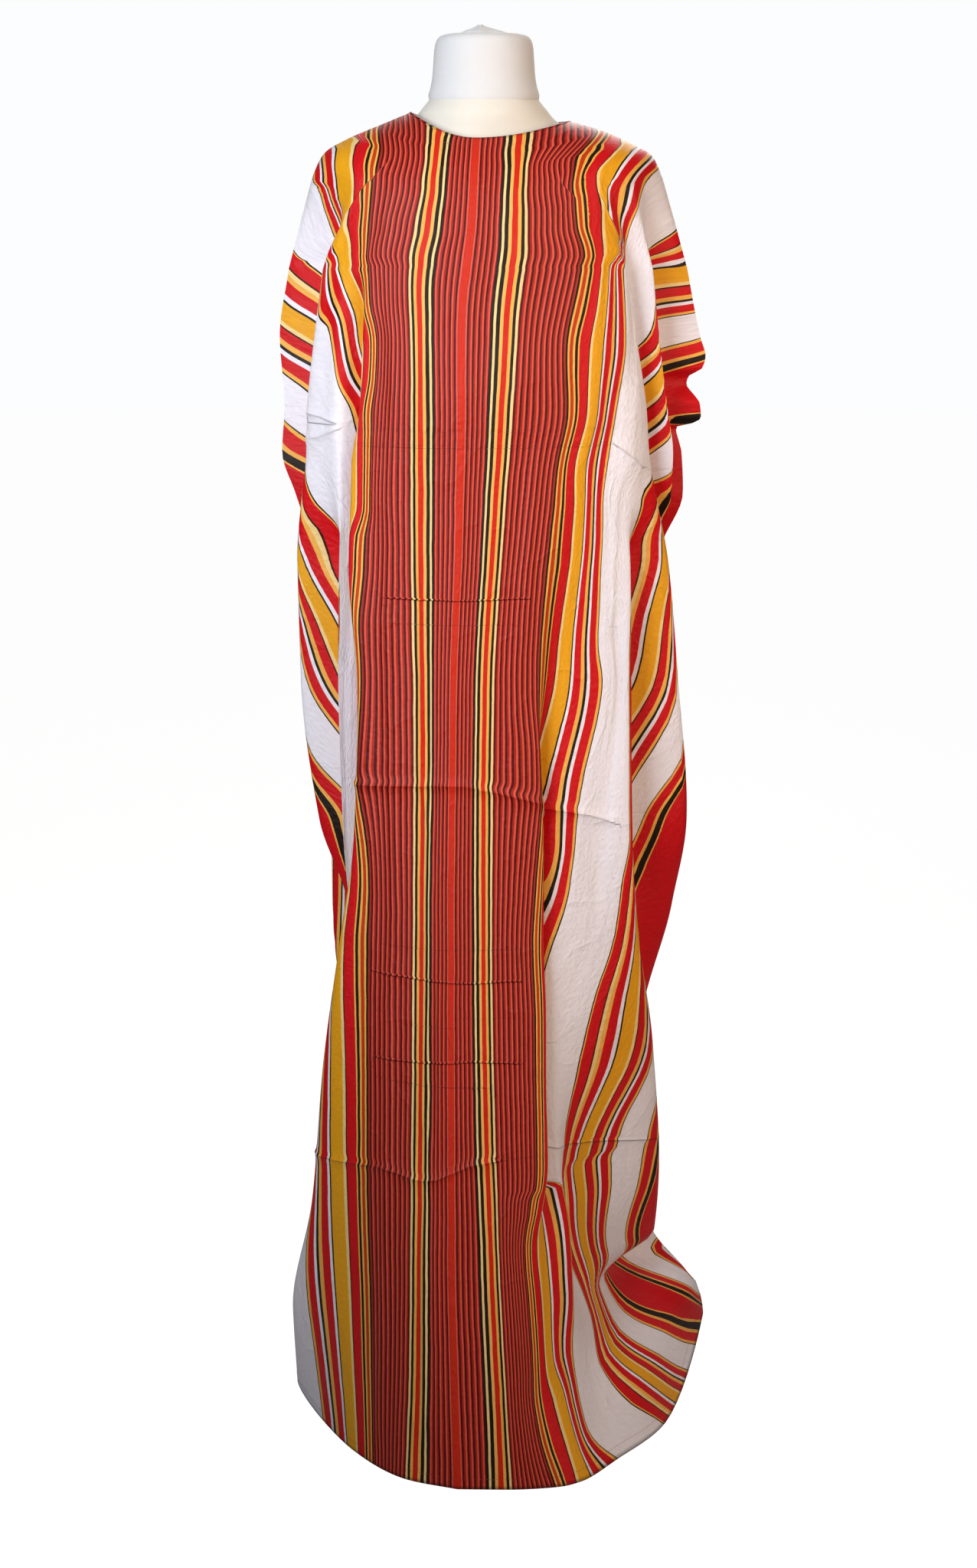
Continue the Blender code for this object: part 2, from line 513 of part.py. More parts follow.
def make_panels(cloth):
    """The front panel and the back panel, mitred and parted by SEAM_GAP where they meet."""
    levels = np.array(LEVELS)
    front = np.concatenate([
        front_half(LEFT_FOLDS, 0, levels)[:, ::-1], front_half(RIGHT_FOLDS, 1, levels)[:, 1:]
    ], axis=1)
    back = back_surface(levels)
    front_normal = outward_normals(front, 1)
    back_normal = outward_normals(back, -1)
    course = read_table(BACK_COURSE, np.minimum(levels, CHEST))
    for edge, behind in ((0, course[:, 0]), (-1, course[:, 1])):
        own, other = front_normal[:, edge].copy(), back_normal[:, edge].copy()
        front_normal[:, edge] = edge_normals(own, other, behind)
        back_normal[:, edge] = edge_normals(other, own, behind)
    front = part_seam(front, front_normal, 1)
    back = part_seam(back, back_normal, -1)
    closed_wall("front_panel", front, wall_points(front, front_normal), cloth)
    closed_wall("back_panel", back, wall_points(back, back_normal), cloth)


def part_seam(points, normal, sign):
    """Draw the two side edges of a panel back by half the seam's gap, along the cloth."""
    points = points.copy()
    up = np.gradient(points, axis=0)
    for edge, way in ((0, sign), (-1, -sign)):
        aside = way * np.cross(up[:, edge], normal[:, edge])
        aside /= np.linalg.norm(aside, axis=1)[:, None]
        points[:, edge] += aside * SEAM_GAP * 0.5
    return points


def oval_ring(centre_x, half_left, half_right, front, back, height_left, height_right, level):
    """Closed ring with its own half widths, depths and side heights, ROUND_SIDES points."""
    turn = np.linspace(0.0, 2 * np.pi, ROUND_SIDES, endpoint=False)
    across, along = np.cos(turn), np.sin(turn)
    x = centre_x + np.where(across < 0, half_left, half_right) * across
    y = np.where(along < 0, -front, back) * along
    side_height = np.where(across < 0, height_left, height_right)
    z = level + (side_height - level) * across**2
    return np.column_stack([x, y, z])


def make_dress_form(jersey, cap):
    """Torso with its shoulders under the yoke, the neck above its seam, and the top knob."""
    rings = []
    for height, half, front, back in reversed(TORSO_SECTIONS):
        rings.append(oval_ring(0.0, half, half, front, back, height, height, height))
    yoke = read_table(YOKE, np.array([row[0] for row in SHOULDER_FILL]))
    for row, fill in reversed(list(zip(yoke, SHOULDER_FILL))):
        level = fill[0] - SHOULDER_DROP
        rings.append(oval_ring(
            row[6], (row[6] - row[0]) * fill[1], (row[3] - row[6]) * fill[1],
            row[7] * fill[2], row[8] * fill[3],
            row[1] - SHOULDER_DROP, row[4] - SHOULDER_DROP, level))
    rings.append(oval_ring(0.0, 0.064, 0.064, -0.063, 0.062, 1.512, 1.512, 1.504))
    rings.append(oval_ring(
        0.0, 0.0555, 0.0555, -0.0550, 0.0550, NECK_SEAM, NECK_SEAM, NECK_SEAM))
    lofted_solid("form_torso", rings, jersey)
    profile = [
        (NECK_SEAM + FIT_GAP, 0.0550), (1.535, 0.0540), (1.560, NECK_RADIUS),
        (NECK_TOP - NECK_ROUNDING, NECK_RADIUS - 0.001),
        (NECK_TOP - NECK_ROUNDING * 0.3, NECK_RADIUS - NECK_ROUNDING * 0.4),
        (NECK_TOP, NECK_RADIUS - NECK_ROUNDING),
    ]
    lofted_solid("form_neck", turned_rings(profile), cap)
    knob = [
        (NECK_TOP + FIT_GAP, KNOB_RADIUS), (NECK_TOP + KNOB_HEIGHT * 0.5, KNOB_RADIUS * 0.86),
        (NECK_TOP + KNOB_HEIGHT, KNOB_RADIUS * 0.45),
    ]
    lofted_solid("form_knob", turned_rings(knob), cap)


def turned_rings(profile):
    """Round rings on the pole's axis from rows of height and radius."""
    return [
        oval_ring(0.0, radius, radius, -radius, radius, height, height, height)
        for height, radius in profile
    ]


def make_stand(metal):
    """The pole under the torso and the round base plate."""
    pole = [(BASE_HEIGHT + FIT_GAP, POLE_RADIUS), (TORSO_BOTTOM - FIT_GAP, POLE_RADIUS)]
    lofted_solid("stand_pole", turned_rings(pole), metal)
    base = [
        (0.0, BASE_RADIUS), (BASE_HEIGHT * 0.6, BASE_RADIUS),
        (BASE_HEIGHT, BASE_RADIUS - BASE_HEIGHT * 0.5),
    ]
    lofted_solid("stand_base", turned_rings(base), metal)


def main():
    """Clear the scene and make every piece."""
    for thing in list(bpy.data.objects):
        bpy.data.objects.remove(thing, do_unlink=True)
    cloth = plain_material("striped cloth", (0.62, 0.05, 0.04), 0.55)
    jersey = plain_material("ivory jersey", (0.80, 0.77, 0.68), 0.75)
    cap = plain_material("white neck cover", (0.78, 0.80, 0.83), 0.6)
    metal = plain_material("painted steel", (0.75, 0.75, 0.75), 0.35, 0.6)
    make_panels(cloth)
    make_dress_form(jersey, cap)
    make_stand(metal)


main()
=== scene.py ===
"""Baati dress on a limbless dress form, dressed around its packed model, in metres, +Z up.

The dress is one striped length folded over the shoulders. Every point of the cloth has a place
across it, counted in metres from the centre stripe, and a level, from the hem at 0 to the neckline.
Stripes, weave, creases and seams all follow that place, which is kept in the UV map "cloth".
"""

import math

import bpy
import numpy as np
from bpy.props import FloatProperty, FloatVectorProperty, IntProperty, PointerProperty
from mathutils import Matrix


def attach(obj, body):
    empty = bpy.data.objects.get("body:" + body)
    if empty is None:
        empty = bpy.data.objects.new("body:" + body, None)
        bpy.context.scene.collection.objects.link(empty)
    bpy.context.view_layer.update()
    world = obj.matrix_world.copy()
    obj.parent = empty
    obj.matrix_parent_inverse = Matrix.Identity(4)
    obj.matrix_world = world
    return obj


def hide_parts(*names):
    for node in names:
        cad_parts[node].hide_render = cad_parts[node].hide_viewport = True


bl_info = {
    "name": "Baati Dress",
    "version": (1, 0, 0),
    "blender": (4, 5, 0),
    "location": "View3D > Sidebar > Baati",
    "description": "Striped baati dress on a dress form, with its cloth, form, stand and stage",
    "category": "Add Mesh",
}

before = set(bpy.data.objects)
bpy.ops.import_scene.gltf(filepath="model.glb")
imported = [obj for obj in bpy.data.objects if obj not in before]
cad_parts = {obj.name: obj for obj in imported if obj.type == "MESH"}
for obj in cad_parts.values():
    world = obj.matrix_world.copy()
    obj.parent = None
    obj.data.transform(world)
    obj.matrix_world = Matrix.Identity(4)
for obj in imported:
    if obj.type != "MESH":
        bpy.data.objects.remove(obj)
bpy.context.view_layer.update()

# Levels: the chest, where the yoke begins, the level where it is fully round, and the neckline.
CHEST = 1.345
YOKE_ROUND = 1.428
NECKLINE = 1.479
LEVEL_SPAN = 1.6
STRIPE_WEIGHT = 0.15
YOKE_POWER = 2.2
BACK_NECK_LIFT = 0.016
BACK_NECK_FROM = 1.430
CUFF_OPEN = 0.010
MITRE_LIMIT = 1.35

# Rows of the cloth. Columns: from level, to level, row spacing.
ROW_SPANS = (
    (0.0, 0.024, 0.004), (0.024, 0.300, 0.0092), (0.300, 0.410, 0.0055),
    (0.410, 0.720, 0.0097), (0.720, 0.820, 0.0050), (0.820, 1.165, 0.0088),
    (1.165, 1.260, 0.0040), (1.260, 1.345, 0.0088),
    (1.345, 1.479, 0.0042),
)

# Fold lines. Columns: level, x, y (to the back), spacing along the cloth.
# Each fold line starts with how many grid columns reach to the next one.
CENTRE_LINE = (
    (1.345, -0.018, -0.125, 0.0), (1.31, -0.0222, -0.131, 0.0), (1.27, -0.0238, -0.137, 0.0),
    (1.20, -0.0240, -0.145, 0.0), (1.10, -0.0255, -0.146, 0.0),
    (0.90, -0.033, -0.150, 0.0), (0.62, -0.0365, -0.170, 0.0), (0.28, -0.0368, -0.207, 0.0),
    (0.12, -0.0338, -0.226, 0.0), (0.0, -0.0305, -0.238, 0.0),
)
LEFT_FOLDS = (
    # centre
    (12, CENTRE_LINE),
    # pinstripe middle
    (12, (
        (1.345, -0.071, -0.119, 0.058), (1.20, -0.074, -0.136, 0.058),
        (1.10, -0.0745, -0.137, 0.058), (0.90, -0.073, -0.142, 0.058),
        (0.62, -0.0755, -0.160, 0.058), (0.28, -0.080, -0.192, 0.058),
        (0.12, -0.084, -0.206, 0.060), (0.0, -0.0885, -0.217, 0.060))),
    # pinstripe side
    (12, (
        (1.345, -0.103, -0.110, 0.093), (1.20, -0.108, -0.122, 0.095),
        (1.10, -0.112, -0.124, 0.100), (0.90, -0.110, -0.130, 0.092),
        (0.73, -0.112, -0.138, 0.093), (0.46, -0.135, -0.142, 0.122),
        (0.28, -0.146, -0.142, 0.135), (0.12, -0.152, -0.146, 0.148),
        (0.0, -0.155, -0.150, 0.160))),
    # pleat crest
    (10, (
        (1.345, -0.124, -0.101, 0.120), (1.27, -0.128, -0.107, 0.128),
        (1.20, -0.132, -0.111, 0.140), (1.145, -0.141, -0.112, 0.172),
        (1.10, -0.143, -0.112, 0.178), (1.03, -0.146, -0.113, 0.160),
        (0.90, -0.138, -0.118, 0.118), (0.73, -0.1443, -0.120, 0.121),
        (0.62, -0.1605, -0.115, 0.152), (0.46, -0.184, -0.098, 0.193),
        (0.28, -0.202, -0.070, 0.213), (0.12, -0.231, -0.030, 0.262),
        (0.0, -0.232, 0.020, 0.288))),
    # pleat root
    (12, (
        (1.345, -0.136, -0.093, 0.143), (1.27, -0.120, -0.086, 0.155),
        (1.20, -0.118, -0.086, 0.178), (1.145, -0.125, -0.088, 0.200),
        (1.10, -0.126, -0.088, 0.205), (1.03, -0.127, -0.088, 0.190),
        (0.90, -0.118, -0.090, 0.165), (0.73, -0.124, -0.092, 0.170),
        (0.62, -0.140, -0.090, 0.200), (0.46, -0.160, -0.070, 0.240),
        (0.28, -0.178, -0.040, 0.265), (0.12, -0.205, 0.000, 0.302),
        (0.0, -0.208, 0.050, 0.330))),
    # white crest
    (10, (
        (1.345, -0.148, -0.084, 0.165), (1.27, -0.150, -0.091, 0.188),
        (1.20, -0.153, -0.097, 0.218), (1.145, -0.153, -0.101, 0.230),
        (1.10, -0.154, -0.101, 0.245), (1.03, -0.157, -0.099, 0.275),
        (0.90, -0.160, -0.098, 0.280), (0.73, -0.157, -0.098, 0.285),
        (0.62, -0.153, -0.072, 0.300), (0.46, -0.171, -0.045, 0.335),
        (0.28, -0.188, -0.012, 0.350), (0.12, -0.214, 0.032, 0.365),
        (0.0, -0.218, 0.085, 0.385))),
    # white root
    (12, (
        (1.345, -0.160, -0.073, 0.187), (1.27, -0.168, -0.076, 0.207),
        (1.20, -0.172, -0.080, 0.240), (1.145, -0.172, -0.082, 0.255),
        (1.10, -0.168, -0.080, 0.272), (1.03, -0.145, -0.068, 0.305),
        (0.90, -0.138, -0.062, 0.335), (0.73, -0.138, -0.062, 0.400),
        (0.62, -0.140, -0.046, 0.400), (0.46, -0.152, -0.018, 0.390),
        (0.28, -0.168, 0.018, 0.395), (0.12, -0.192, 0.062, 0.405),
        (0.0, -0.195, 0.112, 0.425))),
    # front fold
    (10, (
        (1.345, -0.172, -0.060, 0.207), (1.27, -0.183, -0.058, 0.225),
        (1.20, -0.1915, -0.055, 0.258), (1.145, -0.194, -0.053, 0.283),
        (1.10, -0.200, -0.052, 0.307), (1.03, -0.2065, -0.046, 0.343),
        (0.90, -0.2057, -0.040, 0.412), (0.73, -0.188, -0.034, 0.495),
        (0.62, -0.158, -0.022, 0.486), (0.46, -0.172, 0.012, 0.430),
        (0.28, -0.184, 0.048, 0.430), (0.12, -0.203, 0.092, 0.440),
        (0.0, -0.208, 0.140, 0.455))),
    # sleeve root
    (16, (
        (1.345, -0.158, -0.040, 0.245), (1.27, -0.162, -0.034, 0.290),
        (1.20, -0.164, -0.030, 0.335), (1.145, -0.168, -0.028, 0.375),
        (1.10, -0.172, -0.026, 0.405), (1.03, -0.180, -0.020, 0.420),
        (0.90, -0.180, -0.012, 0.455), (0.73, -0.170, -0.012, 0.497),
        (0.62, -0.150, 0.000, 0.493), (0.46, -0.156, 0.038, 0.465),
        (0.28, -0.166, 0.075, 0.465), (0.12, -0.186, 0.118, 0.470),
        (0.0, -0.190, 0.165, 0.478))),
    # outer edge
    (0, (
        (1.345, -0.2125, -0.005, 0.300), (1.27, -0.224, -0.008, 0.365),
        (1.20, -0.220, -0.010, 0.430), (1.145, -0.2236, -0.012, 0.475),
        (1.10, -0.210, -0.010, 0.500), (1.03, -0.192, 0.008, 0.500),
        (0.90, -0.186, 0.018, 0.500), (0.73, -0.163, 0.012, 0.500),
        (0.62, -0.163, 0.025, 0.500), (0.46, -0.172, 0.064, 0.500),
        (0.28, -0.182, 0.102, 0.500), (0.12, -0.200, 0.146, 0.500),
        (0.0, -0.204, 0.192, 0.500))),
)
RIGHT_FOLDS = (
    # centre
    (10, CENTRE_LINE),
    # pinstripe middle
    (12, (
        (1.345, 0.032, -0.122, 0.058), (1.20, 0.027, -0.142, 0.058),
        (1.10, 0.020, -0.143, 0.058), (0.90, 0.008, -0.148, 0.058),
        (0.62, 0.006, -0.168, 0.058), (0.28, 0.014, -0.206, 0.058),
        (0.12, 0.022, -0.227, 0.058), (0.0, 0.028, -0.239, 0.058))),
    # pinstripe edge
    (9, (
        (1.345, 0.096, -0.113, 0.116), (1.27, 0.086, -0.124, 0.116),
        (1.20, 0.089, -0.130, 0.118), (1.145, 0.080, -0.133, 0.117),
        (1.10, 0.0742, -0.135, 0.117), (0.90, 0.0596, -0.140, 0.117),
        (0.73, 0.0654, -0.148, 0.117), (0.62, 0.066, -0.155, 0.117),
        (0.54, 0.0687, -0.1635, 0.117), (0.46, 0.0691, -0.172, 0.117),
        (0.37, 0.0715, -0.182, 0.117), (0.28, 0.0612, -0.192, 0.117),
        (0.12, 0.064, -0.212, 0.117), (0.0, 0.085, -0.233, 0.116))),
    # pleat root
    (9, (
        (1.345, 0.120, -0.103, 0.145), (1.27, 0.114, -0.113, 0.147),
        (1.20, 0.113, -0.119, 0.148), (1.145, 0.104, -0.123, 0.147),
        (1.10, 0.098, -0.125, 0.146), (1.03, 0.086, -0.126, 0.143),
        (0.90, 0.068, -0.124, 0.150), (0.73, 0.046, -0.122, 0.168),
        (0.62, 0.052, -0.126, 0.168), (0.46, 0.048, -0.142, 0.160),
        (0.28, 0.068, -0.176, 0.140), (0.12, 0.082, -0.195, 0.142),
        (0.0, 0.110, -0.222, 0.142))),
    # group edge
    (8, (
        (1.345, 0.147, -0.086, 0.212), (1.27, 0.1516, -0.091, 0.213),
        (1.20, 0.142, -0.101, 0.213), (1.145, 0.133, -0.107, 0.213),
        (1.10, 0.128, -0.110, 0.213), (1.03, 0.127, -0.110, 0.213),
        (0.90, 0.110, -0.114, 0.213), (0.73, 0.0716, -0.130, 0.213),
        (0.62, 0.068, -0.138, 0.213), (0.46, 0.0697, -0.150, 0.213),
        (0.28, 0.0975, -0.156, 0.213), (0.14, 0.107, -0.158, 0.213),
        (0.05, 0.128, -0.165, 0.213), (0.0, 0.155, -0.172, 0.213))),
    # white middle
    (9, (
        (1.345, 0.149, -0.084, 0.2145), (1.27, 0.155, -0.087, 0.220),
        (1.20, 0.153, -0.096, 0.226), (1.145, 0.147, -0.102, 0.230),
        (1.10, 0.142, -0.105, 0.238), (1.03, 0.143, -0.105, 0.243),
        (0.90, 0.136, -0.107, 0.243), (0.73, 0.118, -0.117, 0.240),
        (0.62, 0.128, -0.115, 0.275), (0.46, 0.104, -0.128, 0.285),
        (0.28, 0.086, -0.120, 0.262), (0.14, 0.122, -0.085, 0.285),
        (0.05, 0.190, -0.095, 0.275), (0.0, 0.216, -0.090, 0.285))),
    # white crest
    (7, (
        (1.345, 0.1505, -0.082, 0.217), (1.27, 0.158, -0.083, 0.228),
        (1.20, 0.162, -0.090, 0.238), (1.145, 0.161, -0.095, 0.248),
        (1.10, 0.155, -0.099, 0.268), (1.03, 0.159, -0.098, 0.278),
        (0.90, 0.1618, -0.098, 0.272), (0.73, 0.1654, -0.103, 0.265),
        (0.62, 0.174, -0.085, 0.345), (0.46, 0.197, -0.042, 0.385),
        (0.28, 0.209, -0.010, 0.475), (0.20, 0.207, 0.020, 0.460), (0.14, 0.152, 0.055, 0.440),
        (0.05, 0.245, 0.110, 0.450), (0.0, 0.282, 0.170, 0.455))),
    # white root
    (7, (
        (1.345, 0.1515, -0.080, 0.2195), (1.27, 0.161, -0.079, 0.236),
        (1.20, 0.170, -0.082, 0.249), (1.145, 0.172, -0.084, 0.266),
        (1.10, 0.171, -0.084, 0.286), (1.03, 0.150, -0.078, 0.300),
        (0.90, 0.142, -0.070, 0.330), (0.73, 0.140, -0.068, 0.360),
        (0.62, 0.155, -0.052, 0.430), (0.46, 0.176, -0.018, 0.420),
        (0.28, 0.192, 0.016, 0.482), (0.20, 0.196, 0.046, 0.472), (0.14, 0.150, 0.078, 0.462),
        (0.05, 0.262, 0.138, 0.468), (0.0, 0.287, 0.200, 0.470))),
    # front fold
    (8, (
        (1.345, 0.1525, -0.078, 0.222), (1.27, 0.164, -0.075, 0.245),
        (1.20, 0.1754, -0.070, 0.258), (1.145, 0.180, -0.066, 0.280),
        (1.10, 0.189, -0.062, 0.302), (1.03, 0.2033, -0.052, 0.342),
        (0.90, 0.217, -0.045, 0.412), (0.73, 0.2316, -0.030, 0.497),
        (0.62, 0.219, 0.000, 0.494), (0.46, 0.186, 0.012, 0.450),
        (0.28, 0.190, 0.040, 0.487), (0.20, 0.192, 0.072, 0.482), (0.14, 0.150, 0.100, 0.475),
        (0.05, 0.268, 0.160, 0.480), (0.0, 0.288, 0.228, 0.485))),
    # sleeve root
    (9, (
        (1.345, 0.157, -0.060, 0.238), (1.27, 0.156, -0.052, 0.270),
        (1.20, 0.162, -0.046, 0.310), (1.145, 0.166, -0.042, 0.370),
        (1.10, 0.170, -0.038, 0.410), (1.03, 0.178, -0.028, 0.420),
        (0.90, 0.192, -0.020, 0.450), (0.73, 0.226, -0.012, 0.498),
        (0.62, 0.214, 0.014, 0.4955), (0.46, 0.176, 0.034, 0.465),
        (0.28, 0.178, 0.058, 0.491), (0.20, 0.190, 0.092, 0.488), (0.14, 0.160, 0.120, 0.485),
        (0.05, 0.269, 0.180, 0.487), (0.0, 0.288, 0.248, 0.489))),
    # sleeve crest
    (8, (
        (1.345, 0.181, -0.055, 0.278), (1.27, 0.1896, -0.052, 0.305),
        (1.20, 0.199, -0.050, 0.370), (1.145, 0.207, -0.046, 0.440),
        (1.10, 0.206, -0.038, 0.480), (1.03, 0.192, -0.014, 0.460),
        (0.90, 0.198, 0.000, 0.475), (0.73, 0.221, 0.000, 0.4985),
        (0.62, 0.209, 0.026, 0.497), (0.46, 0.180, 0.052, 0.480),
        (0.28, 0.182, 0.074, 0.494), (0.20, 0.196, 0.108, 0.492), (0.14, 0.180, 0.136, 0.490),
        (0.05, 0.269, 0.196, 0.492), (0.0, 0.287, 0.262, 0.493))),
    # sleeve valley
    (12, (
        (1.345, 0.180, -0.032, 0.305), (1.27, 0.180, -0.022, 0.365),
        (1.20, 0.182, -0.018, 0.415), (1.145, 0.188, -0.016, 0.465),
        (1.10, 0.193, -0.014, 0.488), (1.03, 0.185, 0.004, 0.485),
        (0.90, 0.188, 0.014, 0.487), (0.73, 0.217, 0.011, 0.499),
        (0.62, 0.204, 0.037, 0.4985), (0.46, 0.172, 0.068, 0.490),
        (0.28, 0.174, 0.090, 0.497), (0.20, 0.194, 0.124, 0.496), (0.14, 0.198, 0.150, 0.495),
        (0.05, 0.266, 0.210, 0.496), (0.0, 0.286, 0.276, 0.4965))),
    # outer edge
    (0, (
        (1.345, 0.2217, -0.002, 0.334), (1.27, 0.238, -0.002, 0.428),
        (1.25, 0.244, -0.003, 0.450), (1.237, 0.2406, -0.004, 0.460),
        (1.227, 0.226, 0.004, 0.470), (1.219, 0.2243, 0.006, 0.478),
        (1.208, 0.232, -0.004, 0.486), (1.1995, 0.238, -0.010, 0.492),
        (1.183, 0.2397, -0.010, 0.494), (1.177, 0.231, -0.006, 0.495),
        (1.172, 0.213, -0.002, 0.495), (1.145, 0.2195, -0.004, 0.497),
        (1.10, 0.222, -0.004, 0.500), (1.03, 0.200, 0.018, 0.500),
        (0.90, 0.200, 0.028, 0.500), (0.73, 0.213, 0.022, 0.500),
        (0.62, 0.199, 0.048, 0.500), (0.46, 0.178, 0.084, 0.500),
        (0.28, 0.180, 0.106, 0.500), (0.20, 0.202, 0.138, 0.500), (0.14, 0.213, 0.164, 0.500),
        (0.05, 0.264, 0.224, 0.500), (0.0, 0.285, 0.290, 0.500))),
)

# Which cloth shows along each fold line, in the same order. Columns: level, cloth.
LEFT_CLOTH = (
    ((1.345, 0.0), (0.0, 0.0)),
    ((1.345, 0.0541), (1.33, 0.0534), (1.31, 0.0543), (1.27, 0.0565), (1.2, 0.058), (0.28, 0.058),
     (0.12, 0.06), (0.0, 0.06)),
    ((1.345, 0.093), (1.31, 0.096), (1.27, 0.104), (1.235, 0.104), (1.2, 0.101), (1.145, 0.1),
     (1.1, 0.1), (1.03, 0.098), (0.965, 0.094), (0.9, 0.094), (0.815, 0.094), (0.73, 0.098),
     (0.675, 0.102), (0.62, 0.106), (0.46, 0.122), (0.28, 0.135), (0.12, 0.148), (0.0, 0.16)),
    ((1.345, 0.121), (1.31, 0.131), (1.27, 0.149), (1.235, 0.152), (1.2, 0.147), (1.17, 0.16),
     (1.145, 0.17), (1.1, 0.174), (1.065, 0.15), (1.03, 0.147), (0.965, 0.132), (0.9, 0.128),
     (0.815, 0.122), (0.73, 0.142), (0.675, 0.155), (0.62, 0.16), (0.46, 0.193), (0.28, 0.213),
     (0.12, 0.262), (0.0, 0.288)),
    ((1.345, 0.14), (1.31, 0.149), (1.284, 0.149), (1.27, 0.150), (1.2, 0.18), (1.145, 0.2),
     (1.1, 0.205), (1.03, 0.19), (0.9, 0.165), (0.73, 0.172), (0.62, 0.2), (0.46, 0.24),
     (0.28, 0.265), (0.12, 0.302), (0.0, 0.33)),
    ((1.345, 0.161), (1.31, 0.1774), (1.284, 0.189), (1.27, 0.1926), (1.235, 0.204),
     (1.2, 0.222), (1.145, 0.232), (1.1, 0.248), (1.065, 0.268), (1.03, 0.281), (0.965, 0.291),
     (0.9, 0.283), (0.815, 0.284), (0.73, 0.287), (0.62, 0.3), (0.46, 0.335), (0.28, 0.35),
     (0.12, 0.365), (0.0, 0.385)),
    ((1.345, 0.178), (1.31, 0.1946), (1.284, 0.213), (1.27, 0.218), (1.2, 0.24),
     (1.145, 0.255), (1.1, 0.272), (1.065, 0.286), (1.03, 0.285), (0.965, 0.3), (0.9, 0.316),
     (0.815, 0.362), (0.73, 0.41), (0.62, 0.4), (0.46, 0.39), (0.28, 0.395),
     (0.12, 0.405), (0.0, 0.425)),
    ((1.345, 0.216), (1.31, 0.216), (1.27, 0.225), (1.2, 0.258), (1.145, 0.283), (1.1, 0.307),
     (1.065, 0.322), (1.03, 0.341), (0.965, 0.376), (0.9, 0.397), (0.815, 0.433), (0.73, 0.471),
     (0.675, 0.476), (0.62, 0.486), (0.46, 0.43), (0.28, 0.43), (0.12, 0.44), (0.0, 0.455)),
    ((1.345, 0.262), (1.31, 0.287), (1.27, 0.314), (1.235, 0.343), (1.2, 0.358), (1.17, 0.388),
     (1.145, 0.415), (1.12, 0.43), (1.1, 0.445), (1.065, 0.44), (1.03, 0.43), (0.965, 0.437),
     (0.9, 0.455), (0.815, 0.481), (0.73, 0.49), (0.62, 0.493), (0.46, 0.465), (0.28, 0.465),
     (0.12, 0.47), (0.0, 0.478)),
    ((1.345, 0.3), (1.31, 0.3245), (1.27, 0.356), (1.235, 0.381), (1.2, 0.407), (1.17, 0.434),
     (1.145, 0.449), (1.12, 0.468), (1.1, 0.488), (1.065, 0.5), (0.0, 0.5)),
)
